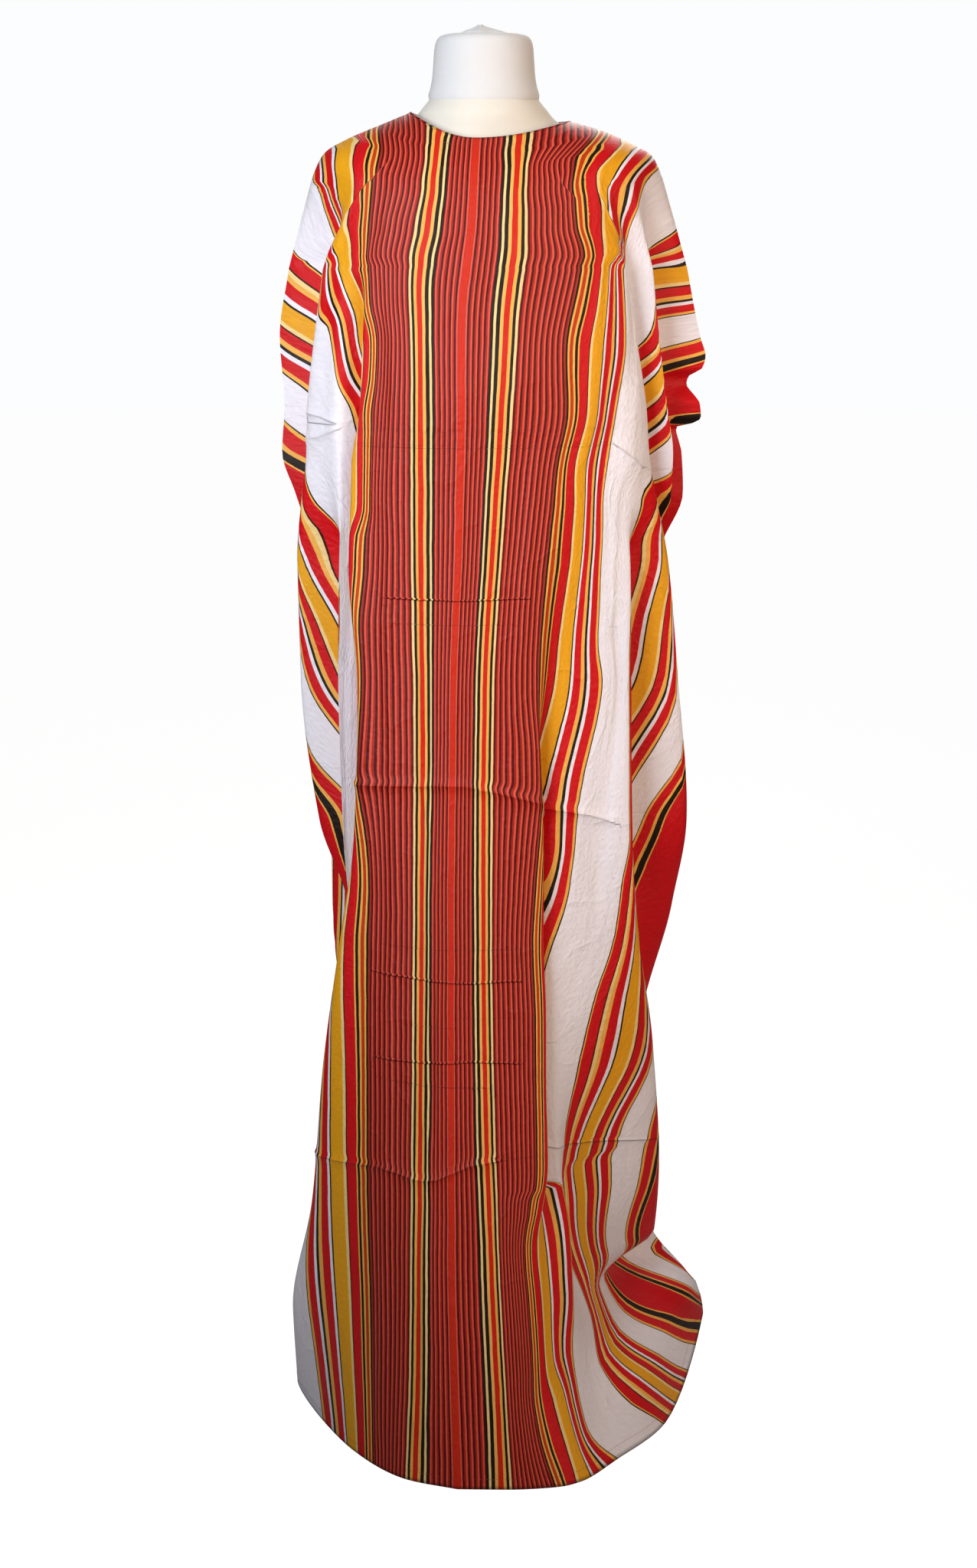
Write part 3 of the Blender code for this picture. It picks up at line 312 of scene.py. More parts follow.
RIGHT_CLOTH = (
    ((1.345, 0.0), (0.0, 0.0)),
    ((1.345, 0.0512), (1.33, 0.053), (1.31, 0.0548), (1.27, 0.0565), (1.2, 0.058), (0.0, 0.058)),
    ((1.345, 0.1115), (1.31, 0.1125), (1.27, 0.116), (1.2, 0.118), (1.145, 0.1195), (1.1, 0.1175),
     (0.9, 0.117), (0.815, 0.117), (0.73, 0.131), (0.675, 0.14), (0.62, 0.1454), (0.54, 0.1454),
     (0.46, 0.1454), (0.37, 0.15), (0.28, 0.1506), (0.21, 0.14), (0.14, 0.134), (0.095, 0.132),
     (0.05, 0.13), (0.0, 0.122)),
    ((1.345, 0.14), (1.31, 0.142), (1.27, 0.149), (1.2, 0.153), (1.145, 0.159), (1.1, 0.15),
     (1.065, 0.144), (1.03, 0.139), (0.965, 0.139), (0.9, 0.136), (0.815, 0.142), (0.73, 0.168),
     (0.675, 0.18), (0.62, 0.188), (0.54, 0.195), (0.46, 0.2), (0.37, 0.21), (0.345, 0.205),
     (0.335, 0.172), (0.28, 0.168), (0.21, 0.166), (0.14, 0.171), (0.095, 0.158), (0.05, 0.155),
     (0.0, 0.152)),
    ((1.345, 0.212), (1.27, 0.213), (1.1, 0.213), (1.065, 0.212), (1.03, 0.214), (0.965, 0.206),
     (0.9, 0.19), (0.815, 0.185), (0.73, 0.178), (0.675, 0.187), (0.62, 0.203), (0.54, 0.226),
     (0.46, 0.248), (0.37, 0.25), (0.345, 0.246), (0.335, 0.215), (0.28, 0.213), (0.21, 0.213),
     (0.14, 0.225), (0.095, 0.235), (0.05, 0.24), (0.0, 0.212)),
    ((1.345, 0.2145), (1.27, 0.22), (1.2, 0.226), (1.145, 0.23), (1.1, 0.238), (1.03, 0.243),
     (0.965, 0.243), (0.9, 0.2225), (0.815, 0.229), (0.73, 0.236), (0.675, 0.25), (0.62, 0.262),
     (0.54, 0.281), (0.46, 0.285), (0.37, 0.292), (0.28, 0.272), (0.21, 0.268), (0.14, 0.275),
     (0.095, 0.332), (0.05, 0.314), (0.0, 0.288)),
    ((1.345, 0.217), (1.27, 0.228), (1.2, 0.238), (1.145, 0.248), (1.1, 0.268), (1.065, 0.277),
     (1.03, 0.277), (0.965, 0.288), (0.9, 0.295), (0.815, 0.297), (0.73, 0.298), (0.675, 0.318),
     (0.62, 0.34), (0.54, 0.366), (0.46, 0.385), (0.37, 0.437), (0.28, 0.468), (0.21, 0.492),
     (0.14, 0.470), (0.095, 0.475), (0.05, 0.462), (0.0, 0.455)),
    ((1.345, 0.2195), (1.27, 0.236), (1.2, 0.249), (1.145, 0.266), (1.1, 0.286), (1.065, 0.286),
     (1.03, 0.281), (0.965, 0.29), (0.9, 0.3), (0.815, 0.332), (0.73, 0.36), (0.675, 0.399),
     (0.62, 0.43), (0.54, 0.425), (0.46, 0.42), (0.28, 0.482), (0.21, 0.494), (0.14, 0.468),
     (0.095, 0.452), (0.05, 0.455), (0.0, 0.46)),
    ((1.345, 0.222), (1.27, 0.245), (1.2, 0.258), (1.145, 0.28), (1.1, 0.302), (1.065, 0.332),
     (1.03, 0.342), (0.965, 0.37), (0.9, 0.385), (0.815, 0.431), (0.73, 0.49), (0.675, 0.494),
     (0.62, 0.494), (0.46, 0.45), (0.28, 0.487), (0.21, 0.48), (0.14, 0.45), (0.095, 0.428),
     (0.05, 0.43), (0.0, 0.44)),
    ((1.345, 0.238), (1.27, 0.27), (1.235, 0.297), (1.2, 0.326), (1.17, 0.346), (1.145, 0.361),
     (1.1, 0.424), (1.065, 0.42), (1.03, 0.42), (0.9, 0.45), (0.73, 0.498), (0.62, 0.4955),
     (0.46, 0.465), (0.28, 0.491), (0.21, 0.48), (0.14, 0.44), (0.095, 0.408), (0.05, 0.412),
     (0.0, 0.425)),
    ((1.345, 0.278), (1.31, 0.289), (1.27, 0.305), (1.235, 0.338), (1.2, 0.363), (1.17, 0.384),
     (1.145, 0.409), (1.1, 0.453), (1.065, 0.465), (1.03, 0.46), (0.9, 0.475), (0.73, 0.4985),
     (0.62, 0.497), (0.46, 0.48), (0.28, 0.494), (0.21, 0.48), (0.14, 0.43), (0.095, 0.388),
     (0.05, 0.393), (0.0, 0.41)),
    ((1.345, 0.322), (1.31, 0.352), (1.27, 0.398), (1.235, 0.437), (1.2, 0.462), (1.17, 0.458),
     (1.145, 0.45), (1.1, 0.488), (1.03, 0.485), (0.9, 0.487), (0.73, 0.499), (0.62, 0.4985),
     (0.46, 0.49), (0.28, 0.497), (0.21, 0.49), (0.14, 0.425), (0.095, 0.374), (0.05, 0.379),
     (0.0, 0.398)),
    ((1.345, 0.326), (1.31, 0.363), (1.27, 0.424), (1.235, 0.466), (1.2, 0.492), (1.193, 0.470),
     (1.185, 0.449), (1.178, 0.447), (1.172, 0.470), (1.145, 0.48), (1.1, 0.5), (0.21, 0.5),
     (0.14, 0.42), (0.095, 0.362), (0.05, 0.366), (0.0, 0.386)),
)

# The yoke, from the chest to the neckline. Columns: level; shoulder line on the left x, height;
# on the right x, height; x of the centre stripe, y at its front, y at the back.
YOKE = (
    (1.479, -0.079, 1.508, 0.0925, 1.499, -0.008, -0.078, 0.070),
    (1.465, -0.109, 1.496, 0.1220, 1.491, -0.009, -0.090, 0.082),
    (1.448, -0.146, 1.481, 0.1580, 1.476, -0.010, -0.100, 0.092),
    (1.428, -0.172, 1.466, 0.1810, 1.4635, -0.011, -0.108, 0.100),
    (1.405, -0.183, 1.447, 0.1900, 1.448, -0.012, -0.114, 0.107),
    (1.380, -0.195, 1.408, 0.2030, 1.408, -0.0138, -0.119, 0.112),
    (1.345, -0.2125, 1.345, 0.2217, 1.345, -0.018, -0.125, 0.116),
)
# Which cloth shows on the yoke. Columns: level; share of the way from the centre to the shoulder
# line where each of the places in STRIPE_PLACES lies; cloth at the shoulder line.
STRIPE_PLACES = (0.047, 0.116, 0.1506, 0.1678, 0.213)
LAST_SHARE = 0.985
YOKE_LAY = 0.010
LEFT_YOKE_CLOTH = (
    (1.479, 0.520, 1.450, 1.80, 1.95, 2.4, 0.078),
    (1.465, 0.385, 1.020, 1.30, 1.42, 1.8, 0.115),
    (1.448, 0.290, 0.725, 0.955, 1.06, 1.36, 0.153),
    (1.428, 0.252, 0.637, 0.812, 0.905, 1.17, 0.185),
    (1.405, 0.232, 0.586, 0.745, 0.862, 1.03, 0.210),
    (1.392, 0.213, 0.550, 0.695, 0.850, 0.945, 0.222),
    (1.380, 0.196, 0.508, 0.662, 0.790, 0.912, 0.252),
    (1.362, 0.182, 0.443, 0.568, 0.655, 0.860, 0.275),
    (1.345, 0.169, 0.387, 0.513, 0.580, 0.685, 0.300),
)
RIGHT_YOKE_CLOTH = (
    (1.479, 0.430, 1.30, 1.90, 2.00, 2.6, 0.094),
    (1.465, 0.325, 1.000, 1.36, 1.45, 1.9, 0.118),
    (1.448, 0.258, 0.628, 0.945, 1.04, 1.4, 0.160),
    (1.428, 0.224, 0.542, 0.694, 0.795, 1.16, 0.190),
    (1.405, 0.206, 0.505, 0.655, 0.705, 0.975, 0.216),
    (1.392, 0.192, 0.465, 0.630, 0.680, 0.885, 0.236),
    (1.380, 0.182, 0.425, 0.592, 0.668, 0.788, 0.262),
    (1.362, 0.170, 0.397, 0.540, 0.650, 0.715, 0.295),
    (1.345, 0.159, 0.360, 0.468, 0.524, 0.650, 0.326),
)
CLOTH_SHOWN = (LEFT_CLOTH, RIGHT_CLOTH)
YOKE_CLOTH = (LEFT_YOKE_CLOTH, RIGHT_YOKE_CLOTH)

# The back panel's course. Columns: level, how far its left and right edges lie behind the
# front's (the cuffs), x and y at the left blade, y at the centre, x and y at the right blade.
BACK_COURSE = (
    (1.345, 0.000, 0.000, -0.150, 0.092, 0.116, 0.150, 0.094),
    (1.250, 0.000, 0.006, -0.160, 0.105, 0.128, 0.163, 0.108),
    (1.145, 0.010, 0.034, -0.165, 0.112, 0.134, 0.170, 0.115),
    (1.080, 0.034, 0.036, -0.165, 0.116, 0.138, 0.172, 0.118),
    (0.930, 0.000, 0.000, -0.165, 0.122, 0.146, 0.172, 0.124),
    (0.620, 0.000, 0.000, -0.162, 0.142, 0.170, 0.172, 0.146),
    (0.280, 0.000, 0.000, -0.176, 0.178, 0.205, 0.178, 0.180),
    (0.140, 0.000, 0.000, -0.186, 0.205, 0.225, 0.176, 0.215),
    (0.050, 0.000, 0.000, -0.190, 0.225, 0.240, 0.215, 0.250),
    (0.000, 0.000, 0.000, -0.192, 0.240, 0.250, 0.235, 0.290),
)
# Hanging folds of the back. Columns: place along the course from left to right, half width in
# the same share, and depth outwards at the chest, the hip and the hem.
BACK_FOLDS = (
    (0.10, 0.034, 0.000, -0.012, -0.014),
    (0.21, 0.036, 0.002, 0.024, 0.028),
    (0.32, 0.036, -0.003, -0.032, -0.036),
    (0.42, 0.034, 0.006, 0.036, 0.042),
    (0.51, 0.034, -0.003, -0.034, -0.038),
    (0.60, 0.034, 0.006, 0.038, 0.044),
    (0.70, 0.036, -0.003, -0.032, -0.036),
    (0.80, 0.036, 0.002, 0.024, 0.028),
    (0.90, 0.034, 0.000, -0.012, -0.014),
)
FOLD_DEPTH_LEVELS = (0.0, 0.90, CHEST)
FOLD_END_SHARE = 0.08
# Between an edge and a blade the course passes this share of the way from the blade and dips
# inwards. Between a blade and the middle it bows outwards.
EDGE_SHARE = 0.45
EDGE_BOW = 0.004
MIDDLE_BOW = 0.006

# Tucks over the chest, where the cloth laps by a few millimetres. Columns: half of the cloth that
# the lap hides; points: cloth across, level.
TUCKS = (
    (0.0025, ((-0.098, 1.4505), (-0.118, 1.424), (-0.132, 1.410), (-0.151, 1.390),
              (-0.168, 1.371), (-0.173, 1.358), (-0.176, 1.340))),
    (0.0065, ((0.1495, 1.411), (0.1506, 1.403), (0.160, 1.394), (0.165, 1.384), (0.169, 1.378),
              (0.173, 1.371), (0.185, 1.363), (0.205, 1.357))),
    (0.0015, ((0.100, 1.436), (0.103, 1.424), (0.111, 1.416), (0.118, 1.409), (0.120, 1.404))),
)
# How far beside a tuck it still shifts the stripes, the share of its length over which each end
# fades, the lap's height as a share of half the cloth that it hides, and how soft its slope is.
TUCK_REACH = 0.022
TUCK_ENDS = 0.25
LAP_HEIGHT = 0.3
LAP_WIDTH = 0.003
# A point far from every tuck and crease: signed distance, cloth hidden, distance to a crease.
NO_TUCK = (1.0, 0.0, 1.0)
# Creases left by folding the dress flat. Columns: height, half width; points: cloth across, level.
PACKING_CREASES = (
    # upper
    (0.0032, 0.0042, (
        (-0.160, 0.795), (-0.112, 0.794), (-0.077, 0.797), (-0.020, 0.800), (0.022, 0.799),
        (0.066, 0.792), (0.109, 0.779), (0.170, 0.768), (0.234, 0.757), (0.275, 0.744))),
    # lower left
    (0.0026, 0.0040, (
        (-0.230, 0.344), (-0.197, 0.343), (-0.098, 0.360), (-0.051, 0.354), (-0.020, 0.358),
        (0.022, 0.374), (0.075, 0.382))),
    # lower right
    (0.0015, 0.0036, (
        (0.185, 0.389), (0.201, 0.388), (0.357, 0.360), (0.456, 0.336))),
    # thigh
    (0.0007, 0.0034, ((-0.120, 0.585), (0.033, 0.580), (0.110, 0.583))),
    # knee
    (0.0007, 0.0034, ((-0.120, 0.486), (0.032, 0.492), (0.110, 0.489))),
    # waist
    (0.0005, 0.0034, ((-0.100, 1.002), (0.026, 1.001), (0.110, 1.004))),
    # left sleeve
    (0.0028, 0.0042, ((-0.285, 1.160), (-0.255, 1.168), (-0.222, 1.182))),
    # left sleeve low
    (0.0022, 0.0040, ((-0.270, 1.196), (-0.245, 1.190), (-0.222, 1.182))),
    # right sleeve
    (0.0028, 0.0042, ((0.212, 1.166), (0.245, 1.148), (0.278, 1.131))),
)
# Long soft wrinkles. Columns: height, half width; points: level, cloth across.
LONG_WRINKLES = (
    # left of centre
    (0.0036, 0.0050, (
        (1.290, -0.043), (1.247, -0.044), (1.153, -0.050), (1.038, -0.050), (0.988, -0.047),
        (0.823, -0.052), (0.738, -0.034), (0.566, -0.035), (0.435, -0.043), (0.391, -0.034),
        (0.260, -0.040), (0.037, -0.034))),
    # beside the centre
    (0.0028, 0.0060, (
        (0.850, -0.020), (0.760, -0.018), (0.640, -0.024), (0.480, -0.018), (0.300, -0.024),
        (0.020, -0.020))),
    # right pinstripes
    (0.0022, 0.0075, (
        (1.180, 0.088), (1.000, 0.094), (0.820, 0.086), (0.600, 0.092), (0.300, 0.084),
        (0.020, 0.088))),
    # left pinstripes
    (0.0022, 0.0070, (
        (1.330, -0.094), (1.160, -0.083), (0.980, -0.088), (0.760, -0.082), (0.520, -0.090),
        (0.260, -0.096), (0.020, -0.104))),
    # right white
    (-0.0030, 0.0120, (
        (1.000, 0.250), (0.900, 0.256), (0.740, 0.250), (0.640, 0.262))),
    # chest right
    (0.0012, 0.0080, ((1.400, 0.060), (1.300, 0.066), (1.180, 0.072))),
    # chest left
    (0.0012, 0.0080, ((1.400, -0.070), (1.300, -0.078), (1.180, -0.074))),
)
# The lengths over which a crease and a wrinkle fade at their ends, and a crease's usual height.
CREASE_FADE = 0.02
WRINKLE_FADE = 0.05
CREASE_USUAL = 0.0022
# Grid steps over which all wrinkles fade at the edges, and the angle of a sharp edge in degrees.
FADE_STEPS = 3.0
SHARP_ANGLE = 60.0

# Stitches: their pitch in stitch lengths, the thread's radii and its height above the cloth.
STITCH_PITCH = 1.5
HEM_THREAD = 0.00035
NECK_THREAD = 0.0003
THREAD_LIFT = 0.0001
# The rolled neck edge: the sides of its tube, and how deep its middle lies under the surface.
ROLL_SIDES = 10
ROLL_SINK = 0.0005

# The dress form below the shoulders. Columns: height, half width, y of the front, y of the back.
TORSO_SECTIONS = (
    (1.400, 0.166, -0.092, 0.088), (1.340, 0.150, -0.098, 0.092), (1.260, 0.142, -0.108, 0.094),
    (1.180, 0.130, -0.100, 0.090), (1.080, 0.112, -0.082, 0.080), (0.980, 0.120, -0.088, 0.092),
    (0.880, 0.128, -0.092, 0.102), (0.800, 0.126, -0.090, 0.100), (0.765, 0.118, -0.084, 0.092),
    (0.760, 0.110, -0.078, 0.086),
)
# The shoulders under the yoke. Columns: yoke level, share of the yoke's width, front and back.
SHOULDER_FILL = (
    (1.479, 0.90, 0.80, 0.80), (1.465, 0.97, 0.80, 0.80), (1.448, 0.99, 0.80, 0.80),
    (1.428, 0.965, 0.82, 0.84),
)
# The neck cover above its seam. Columns: height, radius.
NECK_PROFILE = (
    (1.5330, 0.0574), (1.5450, 0.0552), (1.5600, 0.0540), (1.5740, 0.0528), (1.5815, 0.0508),
    (1.5860, 0.0465), (1.5878, 0.0400), (1.5884, 0.0200), (1.5886, 0.0060),
)
# Points round the form, and rows up each of its pieces.
FORM_SIDES = 128
TORSO_ROWS = 90
NECK_ROWS = 70
TIP_ROWS = 24

# Stripes from the centre outwards. Columns: dye, width in millimetres.
CENTRE_HALF_WIDTH = 0.0036
PIN_PITCH = 0.0062
PIN_BANDS = (("wine", 2.3), ("terracotta", 1.9), ("salmon", 2.0))
ACCENT_SPAN = (0.0322, 0.0616)
ACCENT_BANDS = (
    ("black", 2.7), ("cream", 2.6), ("black", 4.0), ("peach", 3.3), ("flame", 6.0),
    ("yellow", 3.4), ("black", 3.1), ("cream", 2.7),
)
INNER_SPAN = (0.116, 0.213)
INNER_BANDS = (
    ("black", 2.3), ("yellow", 2.1), ("rust", 3.5), ("yellow", 2.6), ("black", 2.8),
    ("yellow", 1.8), ("crimson", 11.4), ("maroon", 1.2), ("cream", 3.4), ("gold", 15.5),
    ("black", 1.7), ("white", 3.0), ("crimson", 9.4), ("yellow", 4.7), ("black", 3.4),
    ("white", 3.8), ("crimson", 9.8), ("yellow", 3.4), ("black", 1.5),
)
MIDDLE_SPAN = (0.285, 0.383)
MIDDLE_BANDS = (
    ("black", 1.4), ("yellow", 1.6), ("crimson", 11.6), ("maroon", 1.4), ("cream", 3.7),
    ("yellow", 4.5), ("crimson", 9.8), ("white", 4.5), ("black", 1.7), ("gold", 15.5),
    ("cream", 4.0), ("maroon", 1.4), ("crimson", 9.8), ("yellow", 4.9), ("black", 3.1),
    ("white", 4.3), ("crimson", 10.4), ("yellow", 3.4), ("black", 1.7),
)
EDGE_SPAN = (0.424, 0.456)
EDGE_BANDS = (
    ("black", 1.3), ("yellow", 3.4), ("crimson", 12.4), ("yellow", 4.0), ("black", 7.6),
    ("yellow", 1.8),
)
# A place past the outer edge of the cloth.
CLOTH_END = 0.6

# The cloth's material. Waves across and along the cloth: the stripes' slow drift, their quick shake
# and the hanging ripples, all in a metre, and the slubs, in the pitch of the threads.
DRIFT_WAVES = (9.0, 7.0)
SHAKE_WAVES = (60.0, 45.0)
RIPPLE_WAVES = (30.0, 2.2)
SLUB_WAVES = (0.6, 0.07)
# The quick shake as a share of the drift, and how narrow the valleys of the crossing folds are.
SHAKE_SHARE = 0.3
FOLD_SHARPNESS = 36.0
# Half width of the step at a tuck, and the lap's height in the bump as a share of the cloth hidden.
TUCK_EDGE = 0.0004
LAP_BUMP = 0.24
# The stripes bend just above a crease: the middle and the width of the bend, and its amount.
BEND_PLACE = 0.003
BEND_WIDTH = 0.004
BEND_SPREAD = 0.008
BEND_SHIFT = -0.0028
# A crease in the bump, and the painted shade along the bottom edge of the turned hem.
CREASE_WIDTH = 0.0016
CREASE_RIDGE = 0.0018
HEM_EDGE = (0.001, 0.005)
HEM_SHADE = 0.35

# The stage's floor, with its glow for the camera alone.
FLOOR_RADIUS = 14
FLOOR_SIDES = 96
FLOOR_LEVEL = -0.0004
FLOOR_GLOW = 0.940
# Lights. Columns: name, setting of its power, size, place, the point that it aims at, colour.
LAMPS = (
    ("key light", "key_power", 1.1, (-1.0, -1.6, 1.68), (0, 0, 1.2), (0.94, 0.96, 1.0)),
    ("fill light", "fill_power", 1.3, (2.0, -1.8, 1.7), (0.1, 0, 1.10), (1.0, 0.74, 0.54)),
    ("top light", "top_power", 1.0, (0.0, -0.3, 3.0), (0, 0, 1.3), (1.0, 0.99, 0.97)),
    ("back light", "fill_power", 1.6, (0.4, 2.4, 2.4), (0, 0, 0.9), (1.0, 0.99, 0.97)),
)
LAMP_SPREAD = 80
# The camera solved from the photo: place, tilt in degrees from straight down, focal length in
# pixels of the photo.
CAMERA_PLACE = (0.005, -2.62, 1.417)
CAMERA_TILT = 76
FOCAL_PIXELS = 3060
PHOTO_HEIGHT = 2047
SENSOR_HEIGHT = 24.0


def dye(red, green, blue):
    """Scene-linear colour of a dye given as it looks on a screen, 0 to 255."""
    seen = np.array([red, green, blue]) / 255
    return tuple(np.where(seen <= 0.04045, seen / 12.92, ((seen + 0.055) / 1.055) ** 2.4).tolist())


def smooth_through(places, values, wanted):
    """Monotone cubic curve through values at rising places, read at the wanted places."""
    places = np.asarray(places, float)
    values = np.asarray(values, float)
    wanted = np.asarray(wanted, float)
    flat = (1,) * (values.ndim - 1)
    step = np.diff(places)
    wide = step.reshape((-1,) + flat)
    steep = np.diff(values, axis=0) / wide
    slope = np.zeros_like(values)
    slope[0] = steep[0]
    slope[-1] = steep[-1]
    before = steep[:-1]
    after = steep[1:]
    heavy = 2 * wide[1:] + wide[:-1]
    light = wide[1:] + 2 * wide[:-1]
    same_way = before * after > 0
    safe_before = np.where(same_way, before, 1.0)
    safe_after = np.where(same_way, after, 1.0)
    mean = (heavy + light) / (heavy / safe_before + light / safe_after)
    slope[1:-1] = np.where(same_way, mean, 0.0)
    index = np.clip(np.searchsorted(places, wanted) - 1, 0, len(places) - 2)
    share = ((wanted - places[index]) / step[index]).reshape(wanted.shape + flat)
    width = step[index].reshape(wanted.shape + flat)
    return (
        (2 * share**3 - 3 * share**2 + 1) * values[index]
        + (share**3 - 2 * share**2 + share) * width * slope[index]
        + (3 * share**2 - 2 * share**3) * values[index + 1]
        + (share**3 - share**2) * width * slope[index + 1]
    )


def read_table(table, levels):
    """The columns of a table whose first column is a falling level, at the wanted levels."""
    rows = np.array(table)[::-1]
    return smooth_through(rows[:, 0], rows[:, 1:], levels)


def ease(share):
    """Smooth step from 0 to 1: 3s^2 - 2s^3."""
    share = np.clip(share, 0.0, 1.0)
    return share * share * (3 - 2 * share)


def unit(vectors):
    """Vectors made one long."""
    return vectors / np.linalg.norm(vectors, axis=-1, keepdims=True)


def walked(path):
    """Distance walked along a path up to each of its points."""
    return np.concatenate([[0.0], np.cumsum(np.linalg.norm(np.diff(path, axis=0), axis=1))])


def cloth_rows():
    """Levels of the cloth's rows, each span of ROW_SPANS at its own spacing."""
    spans = [
        np.linspace(low, high, max(2, round((high - low) / step)), endpoint=False)
        for low, high, step in ROW_SPANS
    ]
    return np.concatenate(spans + [[NECKLINE]])


def yoke_cloth(share, seen):
    """Cloth at each share of the yoke's half width, through the stripes seen at its level."""
    kept = [
        (place, cloth) for place, cloth in zip(seen[:-1], STRIPE_PLACES) if place < LAST_SHARE
    ]
    keys = np.array([(0.0, 0.0)] + kept + [(1.0, seen[-1])])
    return smooth_through(keys[:, 0], keys[:, 1], share)


def onto_yoke(points, level, yoke, side, seen):
    """A row above the chest, moved onto the yoke: y = depth (1 - s^p)^(1/2), height rises as s^2,
    where s is the share of the cloth between the centre and the shoulder line."""
    edge_x, edge_height = yoke[2 * side], yoke[2 * side + 1]
    centre_x, depth = yoke[4], yoke[5]
    share = points[:, 2] / points[-1, 2]
    blend = ease((level - CHEST) / (YOKE_ROUND - CHEST))
    round_x = centre_x + (edge_x - centre_x) * share
    round_y = depth * np.sqrt(np.clip(1 - share**YOKE_POWER, 0, 1))
    span = points[-1, 0] - points[0, 0]
    hung_x = centre_x + (points[:, 0] - points[0, 0]) * (edge_x - centre_x) / span
    hung_y = points[:, 1] * depth / points[0, 1]
    x = hung_x + (round_x - hung_x) * blend
    y = hung_y + (round_y - hung_y) * blend
    height = level + (edge_height - level) * share**2
    laid = yoke_cloth(share, seen) - points[:, 3]
    cloth = points[:, 3] + laid * min((level - CHEST) / YOKE_LAY, 1.0)
    return np.column_stack([x, y, height, cloth])


def front_half(folds, side, levels):
    """Half of the front from the centre stripe outwards: each row is a monotone cubic through the
    fold lines' points at its level. Columns: x, y, height, cloth from the centre stripe."""
    steps = [count for count, table in folds[:-1]]
    low = np.minimum(levels, CHEST)
    lines = np.stack([read_table(table, low) for count, table in folds], axis=1)
    shown = np.stack([read_table(table, low) for table in CLOTH_SHOWN[side]], axis=1)
    lines = np.concatenate([lines, shown], axis=2)
    yoke = read_table(YOKE, np.maximum(levels, CHEST))
    seen = read_table(YOKE_CLOTH[side], np.maximum(levels, CHEST))
    rows = []
    for number, level in enumerate(levels):
        keys = lines[number]
        apart = np.hypot(np.diff(keys[:, 0]), np.diff(keys[:, 1]))
        apart = apart + STRIPE_WEIGHT * np.abs(np.diff(keys[:, 2]))
        places = np.concatenate([[0.0], np.cumsum(np.sqrt(apart))])
        columns = [
            np.linspace(places[i], places[i + 1], count, endpoint=False)
            for i, count in enumerate(steps)
        ]
        columns = np.concatenate(columns + [places[-1:]])
        points = smooth_through(places, keys, columns)
        if level > CHEST:
            rows.append(onto_yoke(points, level, yoke[number], side, seen[number]))
        else:
            height = np.full(len(columns), level)
            rows.append(np.column_stack([points[:, :2], height, points[:, 3]]))
    return np.array(rows)


def back_row(level, left, right, course, yoke, columns):
    """One row of the back, left edge to right edge: a cubic course plus bell-shaped folds along its
    outward side. Columns: x, y, height, cloth from the centre stripe."""
    start = left[:2] + np.array([0.0, course[0]])
    end = right[:2] + np.array([0.0, course[1]])
    left_blade = course[2:4]
    right_blade = course[5:7]
    middle = np.array([(start[0] + end[0]) / 2, course[4]])
    lift = np.array([0.0, MIDDLE_BOW])
    keys = np.array([
        start, EDGE_SHARE * start + (1 - EDGE_SHARE) * left_blade + [EDGE_BOW, -EDGE_BOW],
        left_blade, (left_blade + middle) / 2 + lift, middle, (right_blade + middle) / 2 + lift,
        right_blade, EDGE_SHARE * end + (1 - EDGE_SHARE) * right_blade - EDGE_BOW, end,
    ])
    places = walked(keys)
    share = np.linspace(0.0, 1.0, columns)
    points = smooth_through(places / places[-1], keys, share)
    along = np.gradient(points, axis=0)
    outward = unit(np.column_stack([-along[:, 1], along[:, 0]]))
    depth = np.zeros(columns)
    for place, half_width, chest, hip, hem in BACK_FOLDS:
        deep = np.interp(level, FOLD_DEPTH_LEVELS, (hem, hip, chest))
        depth += deep * np.exp(-(((share - place) / half_width) ** 2))
    depth *= ease(np.minimum(share, 1 - share) / FOLD_END_SHARE)
    points = points + outward * depth[:, None]
    part = walked(points)
    part = part / part[-1]
    cloth = -left[2] + (left[2] + right[2]) * part
    if level <= CHEST:
        return np.column_stack([points, np.full(columns, level), cloth])
    across = 2 * part - 1
    away = np.abs(across)
    blend = ease((level - CHEST) / (YOKE_ROUND - CHEST))
    edge_x = np.where(across < 0, yoke[0], yoke[2])
    edge_height = np.where(across < 0, yoke[1], yoke[3])
    outer_cloth = np.where(across < 0, left[2], right[2])
    round_x = yoke[4] + (edge_x - yoke[4]) * away
    round_y = yoke[6] * np.sqrt(np.clip(1 - away**YOKE_POWER, 0, 1))
    hung_x = yoke[0] + (points[:, 0] - start[0]) * (yoke[2] - yoke[0]) / (end[0] - start[0])
    hung_y = points[:, 1] * yoke[6] / course[4]
    x = hung_x + (round_x - hung_x) * blend
    y = hung_y + (round_y - hung_y) * blend
    neck = BACK_NECK_LIFT * ease((level - BACK_NECK_FROM) / (NECKLINE - BACK_NECK_FROM))
    height = level + neck * (1 - away**2) + (edge_height - level) * away**2
    return np.column_stack([x, y, height, cloth + (across * outer_cloth - cloth) * blend])


def edge_cloth(side, levels):
    """Cloth at the outer edge and, above the chest, at the shoulder line."""
    hung = read_table(CLOTH_SHOWN[side][-1], np.minimum(levels, CHEST))[:, 0]
    laid = read_table(YOKE_CLOTH[side], np.maximum(levels, CHEST))[:, -1]
    return hung + (laid - hung) * np.clip((levels - CHEST) / YOKE_LAY, 0, 1)


